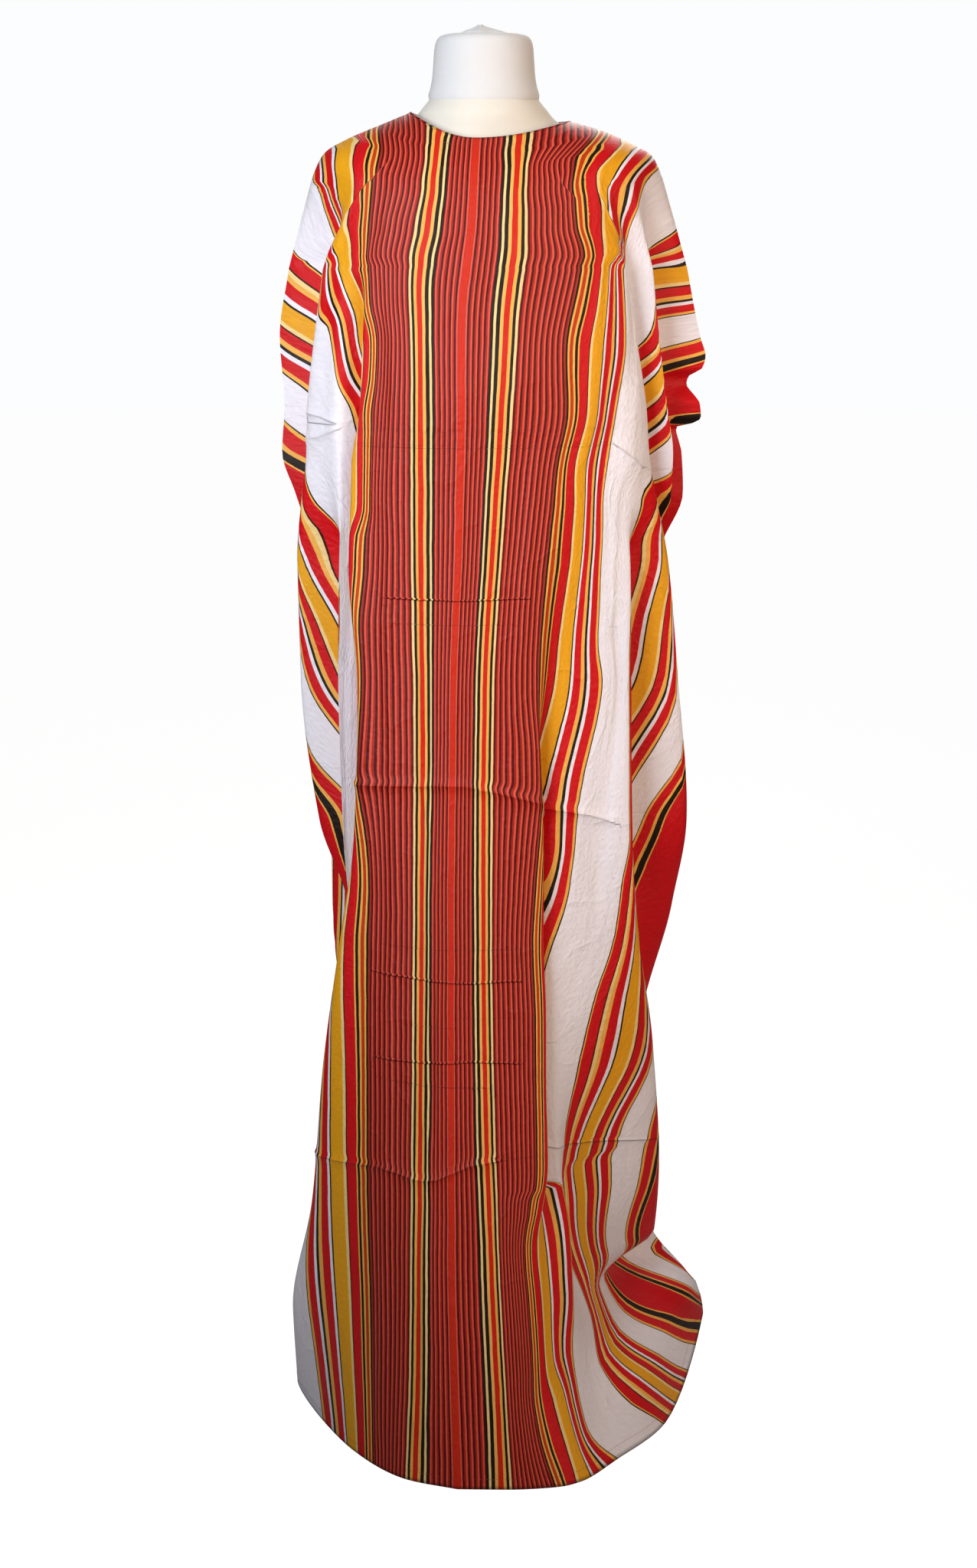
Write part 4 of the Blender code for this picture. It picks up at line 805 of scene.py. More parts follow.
def back_grid(levels, columns):
    """The back panel as a grid. Columns: x, y, height, cloth from the centre stripe."""
    low = np.minimum(levels, CHEST)
    left = read_table(LEFT_FOLDS[-1][1], low)
    right = read_table(RIGHT_FOLDS[-1][1], low)
    left[:, 2] = edge_cloth(0, levels)
    right[:, 2] = edge_cloth(1, levels)
    course = read_table(BACK_COURSE, low)
    yoke = read_table(YOKE, np.maximum(levels, CHEST))
    return np.array([
        back_row(level, left[i], right[i], course[i], yoke[i], columns)
        for i, level in enumerate(levels)
    ])


def front_grid(levels):
    """The front panel as a grid, left edge to right edge, cloth negative on the left."""
    left = front_half(LEFT_FOLDS, 0, levels)[:, ::-1]
    right = front_half(RIGHT_FOLDS, 1, levels)[:, 1:]
    left[:, :, 3] *= -1
    return np.concatenate([left, right], axis=1)


def outward_normals(points, sign):
    """Unit normals of a grid: the cross product of its column and row steps."""
    return unit(sign * np.cross(np.gradient(points, axis=1), np.gradient(points, axis=0)))


def mitre(own, other, behind):
    """Normals along an edge that meets the other panel, its own where a cuff is open."""
    both = unit(own + other)
    lean = np.clip(np.sum(both * own, axis=1), 1 / MITRE_LIMIT, 1.0)
    open_share = ease(behind / CUFF_OPEN)[:, None]
    return own * open_share + both / lean[:, None] * (1 - open_share)


def crease_line(points, cloth):
    """Level of a packing crease across the cloth, and 1 inside its ends, fading to 0 past them."""
    line = np.array(points)
    inside = ease((cloth - line[0, 0]) / CREASE_FADE) * ease((line[-1, 0] - cloth) / CREASE_FADE)
    return np.interp(cloth, line[:, 0], line[:, 1]), inside


def crease_height(cloth, level):
    """Height of the packing creases, sharp ridges exp(-|d| / w), and of the long wrinkles."""
    height = np.zeros_like(cloth)
    for high, half_width, points in PACKING_CREASES:
        over, inside = crease_line(points, cloth)
        height += high * np.exp(-np.abs(level - over) / half_width) * inside
    for high, half_width, points in LONG_WRINKLES:
        line = np.array(points)[::-1]
        over = smooth_through(line[:, 0], line[:, 1], np.clip(level, line[0, 0], line[-1, 0]))
        inside = ease((level - line[0, 0]) / WRINKLE_FADE + 0.2)
        inside = inside * ease((line[-1, 0] - level) / WRINKLE_FADE)
        height += high * np.exp(-(((cloth - over) / half_width) ** 2)) * inside
    return height


def crease_distance(cloth, level):
    """Signed distance to the packing crease nearby, stretched past its ends so that it fades."""
    nearest = np.full(cloth.shape, 1.0)
    for high, half_width, points in PACKING_CREASES:
        over, inside = crease_line(points, cloth)
        apart = (level - over) / np.maximum(inside, 0.01) * (CREASE_USUAL / high)
        nearest = np.where(np.abs(apart) < np.abs(nearest), apart, nearest)
    return nearest


def tuck_distance(cloth, level):
    """Signed distance to the nearest tuck, positive towards the shoulder, and half of what the tuck
    hides beside that point, fading with the distance and towards its ends."""
    nearest = np.full(cloth.shape, 1.0)
    signed = np.full(cloth.shape, 1.0)
    hidden = np.zeros(cloth.shape)
    for half, tuck in TUCKS:
        line = np.array(tuck)
        side = np.sign(line[0, 0])
        total = np.hypot(*(line[-1] - line[0]))
        for start, end in zip(line[:-1], line[1:]):
            run = end - start
            length = np.hypot(*run)
            ahead = ((cloth - start[0]) * run[0] + (level - start[1]) * run[1]) / length**2
            held = np.clip(ahead, 0, 1)
            off_x = cloth - start[0] - held * run[0]
            off_y = level - start[1] - held * run[1]
            away = np.hypot(off_x, off_y)
            closer = away < nearest
            way = np.sign(off_x * side * abs(run[1]) + off_y * abs(run[0]))
            nearest = np.where(closer, away, nearest)
            signed = np.where(closer, away * np.where(way == 0, 1, way), signed)
            gone = np.hypot(*(start - line[0])) + held * length
            ends = ease(gone / (TUCK_ENDS * total)) * ease((total - gone) / (TUCK_ENDS * total))
            strong = ends * np.exp(-((away / TUCK_REACH) ** 2))
            hidden = np.where(closer, strong * half, hidden)
    return signed, hidden


def put_mesh(name, points, faces, material, cloth=None, tuck=None):
    """Smooth named mesh, with an optional UV map "cloth" and attribute "tuck" for each point."""
    mesh = bpy.data.meshes.new(name)
    listed = faces.tolist() if isinstance(faces, np.ndarray) else faces
    mesh.from_pydata(np.asarray(points).tolist(), [], listed)
    corner = np.empty(len(mesh.loops), np.int32)
    mesh.loops.foreach_get("vertex_index", corner)
    if cloth is not None:
        layer = mesh.uv_layers.new(name="cloth")
        layer.data.foreach_set("uv", cloth[corner].astype(np.float32).ravel())
    if tuck is not None:
        layer = mesh.attributes.new("tuck", "FLOAT_VECTOR", "POINT")
        layer.data.foreach_set("vector", tuck.astype(np.float32).ravel())
    mesh.shade_smooth()
    mesh.set_sharp_from_angle(angle=math.radians(SHARP_ANGLE))
    mesh.materials.append(material)
    mesh.validate()
    mesh.update()
    thing = bpy.data.objects.new(name, mesh)
    bpy.context.scene.collection.objects.link(thing)
    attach(thing, "root")
    return thing


def grid_faces(rows, columns, start=0, turned=False, round_columns=False, round_rows=False):
    """Quads of a grid of points, turned the other way or closed round either way if asked."""
    number = np.arange(rows * columns).reshape(rows, columns) + start
    if round_rows:
        number = np.concatenate([number, number[:1]])
    if round_columns:
        number = np.concatenate([number, number[:, :1]], axis=1)
    quads = np.stack([number[:-1, :-1], number[:-1, 1:], number[1:, 1:], number[1:, :-1]], axis=2)
    quads = quads.reshape(-1, 4)
    return quads[:, ::-1] if turned else quads


def put_cloth(name, grid, normal, levels, tuck, turned=False):
    """Thin closed wall from a grid of cloth: the outer points, the same points a wall's thickness
    behind them, and a rim of quads along all four edges."""
    outer = grid[:, :, :3]
    inner = outer - bpy.context.scene.baati_cloth.thickness * normal
    rows, columns = outer.shape[:2]
    count = rows * columns
    faces = [grid_faces(rows, columns, 0, turned), grid_faces(rows, columns, count, not turned)]
    number = np.arange(count).reshape(rows, columns)
    rim = np.concatenate([
        number[0, :-1], number[:-1, -1], number[-1, :0:-1], number[:0:-1, 0]
    ])
    after = np.roll(rim, -1)
    band = np.column_stack([after, rim, rim + count, after + count])
    faces.append(band[:, ::-1] if turned else band)
    level = np.broadcast_to(levels[:, None], grid.shape[:2])
    place = np.stack([grid[:, :, 3] + 0.5, level / LEVEL_SPAN], axis=2).reshape(-1, 2)
    tuck = tuck.reshape(-1, 3)
    return put_mesh(
        name, np.concatenate([outer.reshape(-1, 3), inner.reshape(-1, 3)]),
        np.concatenate(faces), bpy.data.materials["striped satin"],
        np.concatenate([place, place]), np.concatenate([tuck, tuck]))


def panel_grids():
    """Both panels' grids and mitred normals, before wrinkles."""
    levels = cloth_rows()
    columns = bpy.context.scene.baati_cloth.back_columns
    front = front_grid(levels)
    back = back_grid(levels, columns)
    front_normal = outward_normals(front[:, :, :3], 1)
    back_normal = outward_normals(back[:, :, :3], -1)
    course = read_table(BACK_COURSE, np.minimum(levels, CHEST))
    for edge, behind in ((0, course[:, 0]), (-1, course[:, 1])):
        own, other = front_normal[:, edge].copy(), back_normal[:, edge].copy()
        front_normal[:, edge] = mitre(own, other, behind)
        back_normal[:, edge] = mitre(other, own, behind)
    for normal in (front_normal, back_normal):
        normal[0] = unit(normal[0] * [1.0, 1.0, 0.0])
    return levels, front, front_normal, back, back_normal


def edge_fade(grid):
    """0 at a grid's side edges and neckline, 1 a little inside, so that wrinkles end there."""
    rows, columns = grid.shape[:2]
    side = np.arange(columns)
    side = ease(np.minimum(side, columns - 1 - side) / FADE_STEPS)
    top = ease((rows - 1 - np.arange(rows)) / FADE_STEPS)
    return top[:, None] * side[None, :]


def closed_tube(path, side, out, half_width, half_height):
    """Oval tube round a closed path: path + side * w cos t + out * h sin t. Points and faces."""
    turn = np.linspace(0, 2 * np.pi, ROLL_SIDES, endpoint=False)
    ring = (
        path[:, None] + side[:, None] * half_width * np.cos(turn)[None, :, None]
        + out[:, None] * half_height * np.sin(turn)[None, :, None]
    )
    faces = grid_faces(len(path), ROLL_SIDES, round_columns=True, round_rows=True)
    return ring.reshape(-1, 3), faces


def stitches(path, out, length, radius):
    """A row of stitches: each is a stretched eight-faced bead, length along the path and radius
    across it, at an even spacing. Returns points and faces."""
    places = walked(path)
    count = max(2, int(places[-1] / (STITCH_PITCH * length)))
    wanted = (np.arange(count) + 0.5) * places[-1] / count
    before, centre, after, up = [
        np.column_stack([np.interp(wanted + shift, places, values[:, i]) for i in range(3)])
        for values, shift in ((path, -0.001), (path, 0.0), (path, 0.001), (out, 0.0))
    ]
    ahead = unit(after - before)
    up = unit(up)
    side = np.cross(ahead, up)
    corners = np.stack([
        centre + ahead * length / 2, centre + side * radius, centre - ahead * length / 2,
        centre - side * radius, centre + up * radius, centre - up * radius * 0.4
    ], axis=1)
    bead = np.array([
        [0, 1, 4], [1, 2, 4], [2, 3, 4], [3, 0, 4], [1, 0, 5], [2, 1, 5], [3, 2, 5], [0, 3, 5]
    ])
    faces = (np.arange(count)[:, None, None] * 6 + bead[None]).reshape(-1, 3)
    return corners.reshape(-1, 3), faces


def join(parts):
    """One list of points and one of faces from several."""
    total = np.cumsum([0] + [len(points) for points, faces in parts[:-1]])
    faces = np.concatenate([faces + start for (points, faces), start in zip(parts, total)])
    return np.concatenate([points for points, faces in parts]), faces


def capped(rings):
    """Points and faces of a stack of closed rings, with a flat cap at each end."""
    rows, sides = rings.shape[:2]
    first = np.arange(sides)
    faces = grid_faces(rows, sides, round_columns=True).tolist()
    caps = [first[::-1].tolist(), (first + (rows - 1) * sides).tolist()]
    return rings.reshape(-1, 3), faces + caps


def oval_ring(turn, centre_x, half_left, half_right, front, back, high_left, high_right, level):
    """Closed ring with its own half widths, depths and side heights at the angles of turn."""
    across, along = np.cos(turn), np.sin(turn)
    x = centre_x + np.where(across < 0, half_left, half_right) * across
    y = np.where(along < 0, -front, back) * along
    side_height = np.where(across < 0, high_left, high_right)
    return np.column_stack([x, y, level + (side_height - level) * across**2])


def shader_node(tree, kind, inputs=None, **settings):
    """New shader node. Inputs are values or sockets, by name or number."""
    made = tree.nodes.new(kind)
    for key, value in settings.items():
        setattr(made, key, value)
    for key, value in (inputs or {}).items():
        if isinstance(value, bpy.types.NodeSocket):
            tree.links.new(value, made.inputs[key])
        else:
            made.inputs[key].default_value = value
    return made


def maths(tree, operation, first, second=0.0, third=0.0):
    """Result of a Math node."""
    inputs = {0: first, 1: second, 2: third}
    return shader_node(tree, "ShaderNodeMath", inputs, operation=operation).outputs[0]


def mixed(tree, factor, first, second, blend_type="MIX"):
    """Colour between two colours."""
    inputs = {0: factor, 6: first, 7: second}
    made = shader_node(tree, "ShaderNodeMix", inputs, data_type="RGBA", blend_type=blend_type)
    return made.outputs[2]


def between(tree, value, low, high):
    """1 where a value lies between low and high, else 0."""
    return maths(tree, "MULTIPLY", maths(tree, "GREATER_THAN", value, low),
                 maths(tree, "LESS_THAN", value, high))


def noise(tree, place, detail, scale=1.0):
    """Noise from 0 to 1 at a place."""
    return shader_node(tree, "ShaderNodeTexNoise",
                       {"Vector": place, "Scale": scale, "Detail": detail}).outputs[0]


def stretched(tree, across, along, waves):
    """Place made of the distances across and along, each times its number of waves a metre."""
    return shader_node(tree, "ShaderNodeCombineXYZ", {
        0: maths(tree, "MULTIPLY", across, waves[0]),
        1: maths(tree, "MULTIPLY", along, waves[1])}).outputs[0]


def tint(tree, shader, colour, tone):
    """Base colour: a colour darkened by a tone."""
    grey = shader_node(tree, "ShaderNodeCombineColor", {0: tone, 1: tone, 2: tone}).outputs[0]
    tree.links.new(mixed(tree, 1.0, colour, grey, "MULTIPLY"), shader.inputs["Base Color"])


def emboss(tree, shader, height):
    """Bump of a height in metres."""
    bump = shader_node(tree, "ShaderNodeBump",
                       {"Height": height, "Distance": 1.0, "Strength": 1.0})
    tree.links.new(bump.outputs[0], shader.inputs["Normal"])


def band_ramp(tree, across, low, high, bands, colours):
    """Stripes with hard edges between low and high, the bands' widths scaled to fill it."""
    share = shader_node(
        tree, "ShaderNodeMapRange", {"Value": across, "From Min": low, "From Max": high}).outputs[0]
    made = shader_node(tree, "ShaderNodeValToRGB", {"Fac": share})
    ramp = made.color_ramp
    ramp.interpolation = "CONSTANT"
    width = np.array([band[1] for band in bands])
    start = (np.cumsum(width) - width) / width.sum()
    for number, (name, wide) in enumerate(bands):
        stop = ramp.elements[number] if number < 2 else ramp.elements.new(float(start[number]))
        stop.position = float(start[number])
        stop.color = (*colours[name], 1.0)
    return made.outputs["Color"]


def new_group(name, inputs, outputs):
    """Shader node group with named inputs (name, kind, default) and outputs (name, kind)."""
    group = bpy.data.node_groups.new(name, "ShaderNodeTree")
    for label, kind, default in inputs:
        socket = group.interface.new_socket(label, in_out="INPUT", socket_type=kind)
        if default is not None:
            socket.default_value = default
    for label, kind in outputs:
        group.interface.new_socket(label, in_out="OUTPUT", socket_type=kind)
    return group, group.nodes.new("NodeGroupInput"), group.nodes.new("NodeGroupOutput")


def place_group(tree, name, inputs):
    """A node group placed in a material's tree."""
    return shader_node(tree, "ShaderNodeGroup", inputs, node_tree=bpy.data.node_groups[name])


def make_weave_group():
    """Woven threads: height is the larger of two crossed cosine waves, one for each thread way,
    and shade darkens the gaps between the threads."""
    group, given, out = new_group(
        "woven threads",
        [("Across", "NodeSocketFloat", 0.0), ("Along", "NodeSocketFloat", 0.0),
         ("Pitch", "NodeSocketFloat", 0.0008), ("Slubs", "NodeSocketFloat", 0.3)],
        [("Height", "NodeSocketFloat"), ("Shade", "NodeSocketFloat")])
    across, along, pitch, slubs = [given.outputs[i] for i in range(4)]
    warp = maths(group, "DIVIDE", across, pitch)
    weft = maths(group, "DIVIDE", along, pitch)
    warp_wave = maths(group, "COSINE", maths(group, "MULTIPLY", warp, math.tau))
    weft_wave = maths(group, "COSINE", maths(group, "MULTIPLY", weft, math.tau))
    over = maths(group, "MAXIMUM", warp_wave, weft_wave)
    slub = noise(group, stretched(group, warp, weft, SLUB_WAVES), 1.0)
    thick = maths(group, "MULTIPLY", maths(group, "SUBTRACT", slub, 0.5), slubs)
    height = maths(group, "MULTIPLY_ADD", over, 0.5, thick)
    group.links.new(height, out.inputs[0])
    group.links.new(maths(group, "MULTIPLY_ADD", height, 0.5, 0.5), out.inputs[1])


def make_mottle_group():
    """Soft cloudy unevenness, 0 to 1 about a half, from two sizes of noise."""
    group, given, out = new_group(
        "soft mottling",
        [("Place", "NodeSocketVector", None), ("Size", "NodeSocketFloat", 0.03)],
        [("Broad", "NodeSocketFloat"), ("Fine", "NodeSocketFloat")])
    scale = maths(group, "DIVIDE", 1.0, given.outputs[1])
    finer = maths(group, "MULTIPLY", scale, 4.0)
    group.links.new(noise(group, given.outputs[0], 2.0, scale), out.inputs[0])
    group.links.new(noise(group, given.outputs[0], 2.0, finer), out.inputs[1])


def make_stripe_group(colours):
    """The cloth's stripes: hard bands as a function of the distance from the centre stripe."""
    group, given, out = new_group(
        "baati stripes", [("Distance", "NodeSocketFloat", 0.0)],
        [("Color", "NodeSocketColor"), ("White", "NodeSocketFloat")])
    away = given.outputs[0]
    pin = maths(group, "FRACT", maths(group, "DIVIDE", away, PIN_PITCH))
    colour = band_ramp(group, pin, 0.0, 1.0, PIN_BANDS, colours)
    centre = maths(group, "LESS_THAN", away, CENTRE_HALF_WIDTH)
    colour = mixed(group, centre, colour, (*colours["centre"], 1.0))
    for low, high, bands in (
        (*ACCENT_SPAN, ACCENT_BANDS),
        (*INNER_SPAN, INNER_BANDS),
        (INNER_SPAN[1], CLOTH_END, "white"),
        (*MIDDLE_SPAN, MIDDLE_BANDS),
        (MIDDLE_SPAN[1], CLOTH_END, "white"),
        (*EDGE_SPAN, EDGE_BANDS),
        (EDGE_SPAN[1], CLOTH_END, "crimson"),
    ):
        if isinstance(bands, str):
            paint = (*colours[bands], 1.0)
        else:
            paint = band_ramp(group, away, low, high, bands, colours)
        colour = mixed(group, between(group, away, low, high), colour, paint)
    plain = maths(group, "GREATER_THAN", away, INNER_SPAN[1])
    for low, high in (MIDDLE_SPAN, (EDGE_SPAN[0], CLOTH_END)):
        striped = between(group, away, low, high)
        plain = maths(group, "MULTIPLY", plain, maths(group, "SUBTRACT", 1.0, striped))
    group.links.new(colour, out.inputs[0])
    group.links.new(plain, out.inputs[1])


def plain_shader(name, colour, roughness, sheen=0.0):
    """New material with a Principled shader. Returns the material, its tree and the shader."""
    material = bpy.data.materials.new(name)
    material.use_nodes = True
    tree = material.node_tree
    shader = tree.nodes["Principled BSDF"]
    shader.inputs["Base Color"].default_value = (*colour, 1.0)
    shader.inputs["Roughness"].default_value = roughness
    shader.inputs["Sheen Weight"].default_value = sheen
    shader.inputs["Sheen Roughness"].default_value = 0.4
    return material, tree, shader


def striped_satin(name, painted_shade=1.0):
    """The dress's cloth: stripes that wander a little with the threads and jump at each tuck, a
    fine weave, cloudy satin on the white, creases in the bump, and painted shade along the hem's
    bottom edge; a painted_shade below 1 darkens it all as painted shade."""
    sizes = bpy.context.scene.baati_cloth
    dyes = bpy.context.scene.baati_dyes
    colours = {key: tuple(getattr(dyes, key)) for key in DYES}
    if "baati stripes" not in bpy.data.node_groups:
        make_stripe_group(colours)
    material, tree, shader = plain_shader(name, colours["crimson"], 0.5)
    shader.inputs["Specular IOR Level"].default_value = 0.28
    place = shader_node(tree, "ShaderNodeUVMap", uv_map="cloth")
    split = shader_node(tree, "ShaderNodeSeparateXYZ", {0: place.outputs[0]})
    across = maths(tree, "SUBTRACT", split.outputs[0], 0.5)
    along = maths(tree, "MULTIPLY", split.outputs[1], LEVEL_SPAN)
    # Stripes: the distance from the centre stripe, after drift, tucks and creases.
    slow = stretched(tree, across, along, DRIFT_WAVES)
    wander = noise(tree, slow, 3.0)
    jitter = noise(tree, stretched(tree, across, along, SHAKE_WAVES), 1.0)
    drift = maths(tree, "MULTIPLY", maths(tree, "SUBTRACT", wander, 0.5), sizes.stripe_wander)
    shake = maths(tree, "MULTIPLY", maths(tree, "SUBTRACT", jitter, 0.5),
                  sizes.stripe_wander * SHAKE_SHARE)
    away = maths(tree, "ABSOLUTE", maths(tree, "ADD", across, maths(tree, "ADD", drift, shake)))
    tuck = shader_node(tree, "ShaderNodeAttribute", attribute_name="tuck")
    signed, hidden, creased = shader_node(
        tree, "ShaderNodeSeparateXYZ", {0: tuck.outputs["Vector"]}).outputs
    step = shader_node(tree, "ShaderNodeMapRange", {
        "Value": signed, "From Min": -TUCK_EDGE, "From Max": TUCK_EDGE, "To Min": -1.0,
        "To Max": 1.0}).outputs[0]
    lapped = maths(tree, "MULTIPLY", step, hidden)
    away = maths(tree, "ADD", away, maths(tree, "MULTIPLY", lapped, sizes.tuck_share))
    above = maths(tree, "DIVIDE", maths(tree, "SUBTRACT", creased, BEND_PLACE), BEND_WIDTH)
    above = maths(tree, "MULTIPLY", maths(tree, "POWER", above, 2.0), -1.0)
    bend = maths(tree, "MULTIPLY", maths(tree, "EXPONENT", above),
                 maths(tree, "MULTIPLY_ADD", wander, BEND_SPREAD, BEND_SHIFT))
    away = maths(tree, "ADD", away, bend)
    stripes = place_group(tree, "baati stripes", {"Distance": away})
    # Colour: the weave's shade between the threads, clouds, painted shade at the hem's bottom edge
    # and the share painted_shade darken the stripes.
    weave = place_group(tree, "woven threads", {
        "Across": across, "Along": along, "Pitch": sizes.weave_pitch, "Slubs": 0.5})
    cloud = place_group(tree, "soft mottling", {"Place": slow, "Size": 0.16})
    tone = maths(tree, "MULTIPLY_ADD", weave.outputs["Shade"], 0.10, 0.92)
    uneven = maths(tree, "MULTIPLY_ADD", cloud.outputs["Fine"], 0.16, 0.92)
    # A painted_shade below 1 darkens the whole material as painted shade, as on the rolled neck
    # edge.
    tone = maths(tree, "MULTIPLY", maths(tree, "MULTIPLY", tone, uneven), painted_shade)
    # Painted shade: the stripes darken to HEM_SHADE towards the hem's bottom edge.
    turned = shader_node(tree, "ShaderNodeMapRange", {
        "Value": along, "From Min": HEM_EDGE[0], "From Max": HEM_EDGE[1], "To Min": HEM_SHADE,
        "To Max": 1.0})
    tone = maths(tree, "MULTIPLY", tone, turned.outputs[0])
    tint(tree, shader, stripes.outputs["Color"], tone)
    gloss = maths(tree, "MULTIPLY_ADD", cloud.outputs["Broad"], 0.22, 0.36)
    gloss = maths(tree, "MULTIPLY_ADD", stripes.outputs["White"], -0.06, gloss)
    tree.links.new(gloss, shader.inputs["Roughness"])
    # Height: rumples, threads, laps, creases, upright ripples and crossing folds.
    rumple = maths(tree, "MULTIPLY", cloud.outputs["Fine"], sizes.rumple)
    thread = maths(tree, "MULTIPLY", weave.outputs["Height"], sizes.weave_pitch * 0.12)
    lap = maths(tree, "MULTIPLY", lapped, LAP_BUMP)
    sharp = maths(tree, "DIVIDE", maths(tree, "ABSOLUTE", creased), -CREASE_WIDTH)
    sharp = maths(tree, "MULTIPLY", maths(tree, "EXPONENT", sharp), CREASE_RIDGE)
    height = maths(tree, "ADD", maths(tree, "ADD", rumple, thread), maths(tree, "ADD", lap, sharp))
    crossing = shader_node(tree, "ShaderNodeCombineXYZ", {
        0: maths(tree, "MULTIPLY_ADD", along, 9.0, maths(tree, "MULTIPLY", across, 5.0)),
        1: maths(tree, "MULTIPLY_ADD", along, -5.0, maths(tree, "MULTIPLY", across, 11.0))})
    folds = noise(tree, crossing.outputs[0], 1.5)
    valley = maths(tree, "ABSOLUTE", maths(tree, "SUBTRACT", folds, 0.5))
    valley = maths(tree, "EXPONENT", maths(tree, "MULTIPLY", valley, -FOLD_SHARPNESS))
    ripple = noise(tree, stretched(tree, across, along, RIPPLE_WAVES), 2.0)
    height = maths(tree, "MULTIPLY_ADD", ripple, sizes.ripple, height)
    patch = maths(tree, "MULTIPLY", cloud.outputs["Broad"], sizes.rumple)
    height = maths(tree, "ADD", height, maths(tree, "MULTIPLY", valley, patch))
    emboss(tree, shader, height)
    return material


def knit_cover(name, colour, pitch, mottle):
    """Plain form cover: fine knit in the bump, cloudy wear in its colour."""
    tree, shader = plain_shader(name, colour, 0.72, 0.25)[1:]
    place = shader_node(tree, "ShaderNodeTexCoord").outputs["Object"]
    split = shader_node(tree, "ShaderNodeSeparateXYZ", {0: place})
    flank = maths(tree, "ADD", split.outputs[0], maths(tree, "MULTIPLY", split.outputs[1], 0.7))
    weave = place_group(tree, "woven threads", {
        "Across": flank, "Along": split.outputs[2], "Pitch": pitch, "Slubs": 0.3})
    cloud = place_group(tree, "soft mottling", {"Place": place, "Size": 0.05})
    tone = maths(tree, "MULTIPLY_ADD", cloud.outputs["Broad"], mottle, 1.0 - mottle * 0.5)
    knit = maths(tree, "MULTIPLY_ADD", weave.outputs["Shade"], 0.06, 0.96)
    tint(tree, shader, (*colour, 1.0), maths(tree, "MULTIPLY", tone, knit))
    emboss(tree, shader, maths(
        tree, "ADD", maths(tree, "MULTIPLY", weave.outputs["Height"], pitch * 0.10),
        maths(tree, "MULTIPLY", cloud.outputs["Fine"], 0.0006)))


def painted_steel(name, colour):
    """Light paint on steel: faint orange peel in the bump and scuffs in the roughness."""
    tree, shader = plain_shader(name, colour, 0.4)[1:]
    place = shader_node(tree, "ShaderNodeTexCoord").outputs["Object"]
    peel = place_group(tree, "soft mottling", {"Place": place, "Size": 0.012})
    wide = place_group(tree, "soft mottling", {"Place": place, "Size": 0.12})
    tint(tree, shader, (*colour, 1.0),
         maths(tree, "MULTIPLY_ADD", wide.outputs["Fine"], 0.14, 0.92))
    rough = maths(tree, "MULTIPLY_ADD", wide.outputs["Broad"], 0.3, 0.25)
    tree.links.new(rough, shader.inputs["Roughness"])
    emboss(tree, shader, maths(tree, "MULTIPLY", peel.outputs["Fine"], 0.00012))


# Dyes of the cloth. Columns: name, red, green and blue as seen on a screen, 0 to 255.
DYE_TABLE = (
    ("crimson", 214, 4, 18), ("terracotta", 170, 38, 24), ("maroon", 70, 2, 2),
    ("wine", 82, 0, 0), ("salmon", 230, 84, 64), ("gold", 242, 170, 22),
    ("yellow", 248, 184, 84), ("peach", 248, 190, 98), ("rust", 196, 60, 4),
    ("flame", 214, 34, 4), ("centre", 212, 42, 12), ("cream", 250, 218, 148),
    ("white", 246, 242, 250), ("black", 26, 9, 2),
)
DYES = [row[0] for row in DYE_TABLE]


def dye_prop(name):
    """Colour property of one dye of the table."""
    row = next(row for row in DYE_TABLE if row[0] == name)
    return FloatVectorProperty(
        name=name.capitalize(), description=f"Colour of the cloth's {name} threads",
        subtype="COLOR", size=3, min=0.0, max=1.0, default=dye(*row[1:]))


class BaatiDyes(bpy.types.PropertyGroup):
    """Colours of the striped cloth."""

    crimson: dye_prop("crimson")
    terracotta: dye_prop("terracotta")
    maroon: dye_prop("maroon")
    wine: dye_prop("wine")
    salmon: dye_prop("salmon")
    gold: dye_prop("gold")
    yellow: dye_prop("yellow")
    peach: dye_prop("peach")
    rust: dye_prop("rust")
    flame: dye_prop("flame")
    centre: dye_prop("centre")
    cream: dye_prop("cream")
    white: dye_prop("white")
    black: dye_prop("black")


class BaatiCloth(bpy.types.PropertyGroup):
    """Sizes of the cloth and its sewing."""

    thickness: FloatProperty(
        name="Thickness", description="Thickness of the cloth", unit="LENGTH", default=0.0009,
        min=0.0003, max=0.002)
    back_columns: IntProperty(
        name="Back columns", description="Grid columns of the back panel", default=190, min=60)
    crease_share: FloatProperty(
        name="Creases", description="How deep the creases and wrinkles are", default=1.0, min=0.0)
    stripe_wander: FloatProperty(
        name="Stripe wander", description="How far the stripes drift sideways", unit="LENGTH",
        default=0.0030, min=0.0)
    tuck_share: FloatProperty(
        name="Tucks", description="Share of the stripes' jump at each tuck", default=1.0, min=0.0)
    weave_pitch: FloatProperty(
        name="Weave pitch", description="Distance from thread to thread", unit="LENGTH",
        default=0.0009, min=0.0002)
    rumple: FloatProperty(
        name="Rumple", description="Height of the fine rumples in the cloth", unit="LENGTH",
        default=0.0012, min=0.0)
    ripple: FloatProperty(
        name="Ripple", description="Height of the upright ripples in the hanging cloth",
        unit="LENGTH", default=0.0045, min=0.0)
    hem_depth: FloatProperty(
        name="Hem depth", description="Turned depth of the hem", unit="LENGTH", default=0.011,
        min=0.0)
    stitch_length: FloatProperty(
        name="Stitch length", description="Length of a stitch", unit="LENGTH", default=0.0024,
        min=0.001)
    neck_roll: FloatProperty(
        name="Neck roll", description="Half height of the rolled neck edge", unit="LENGTH",
        default=0.0016, min=0.0005)


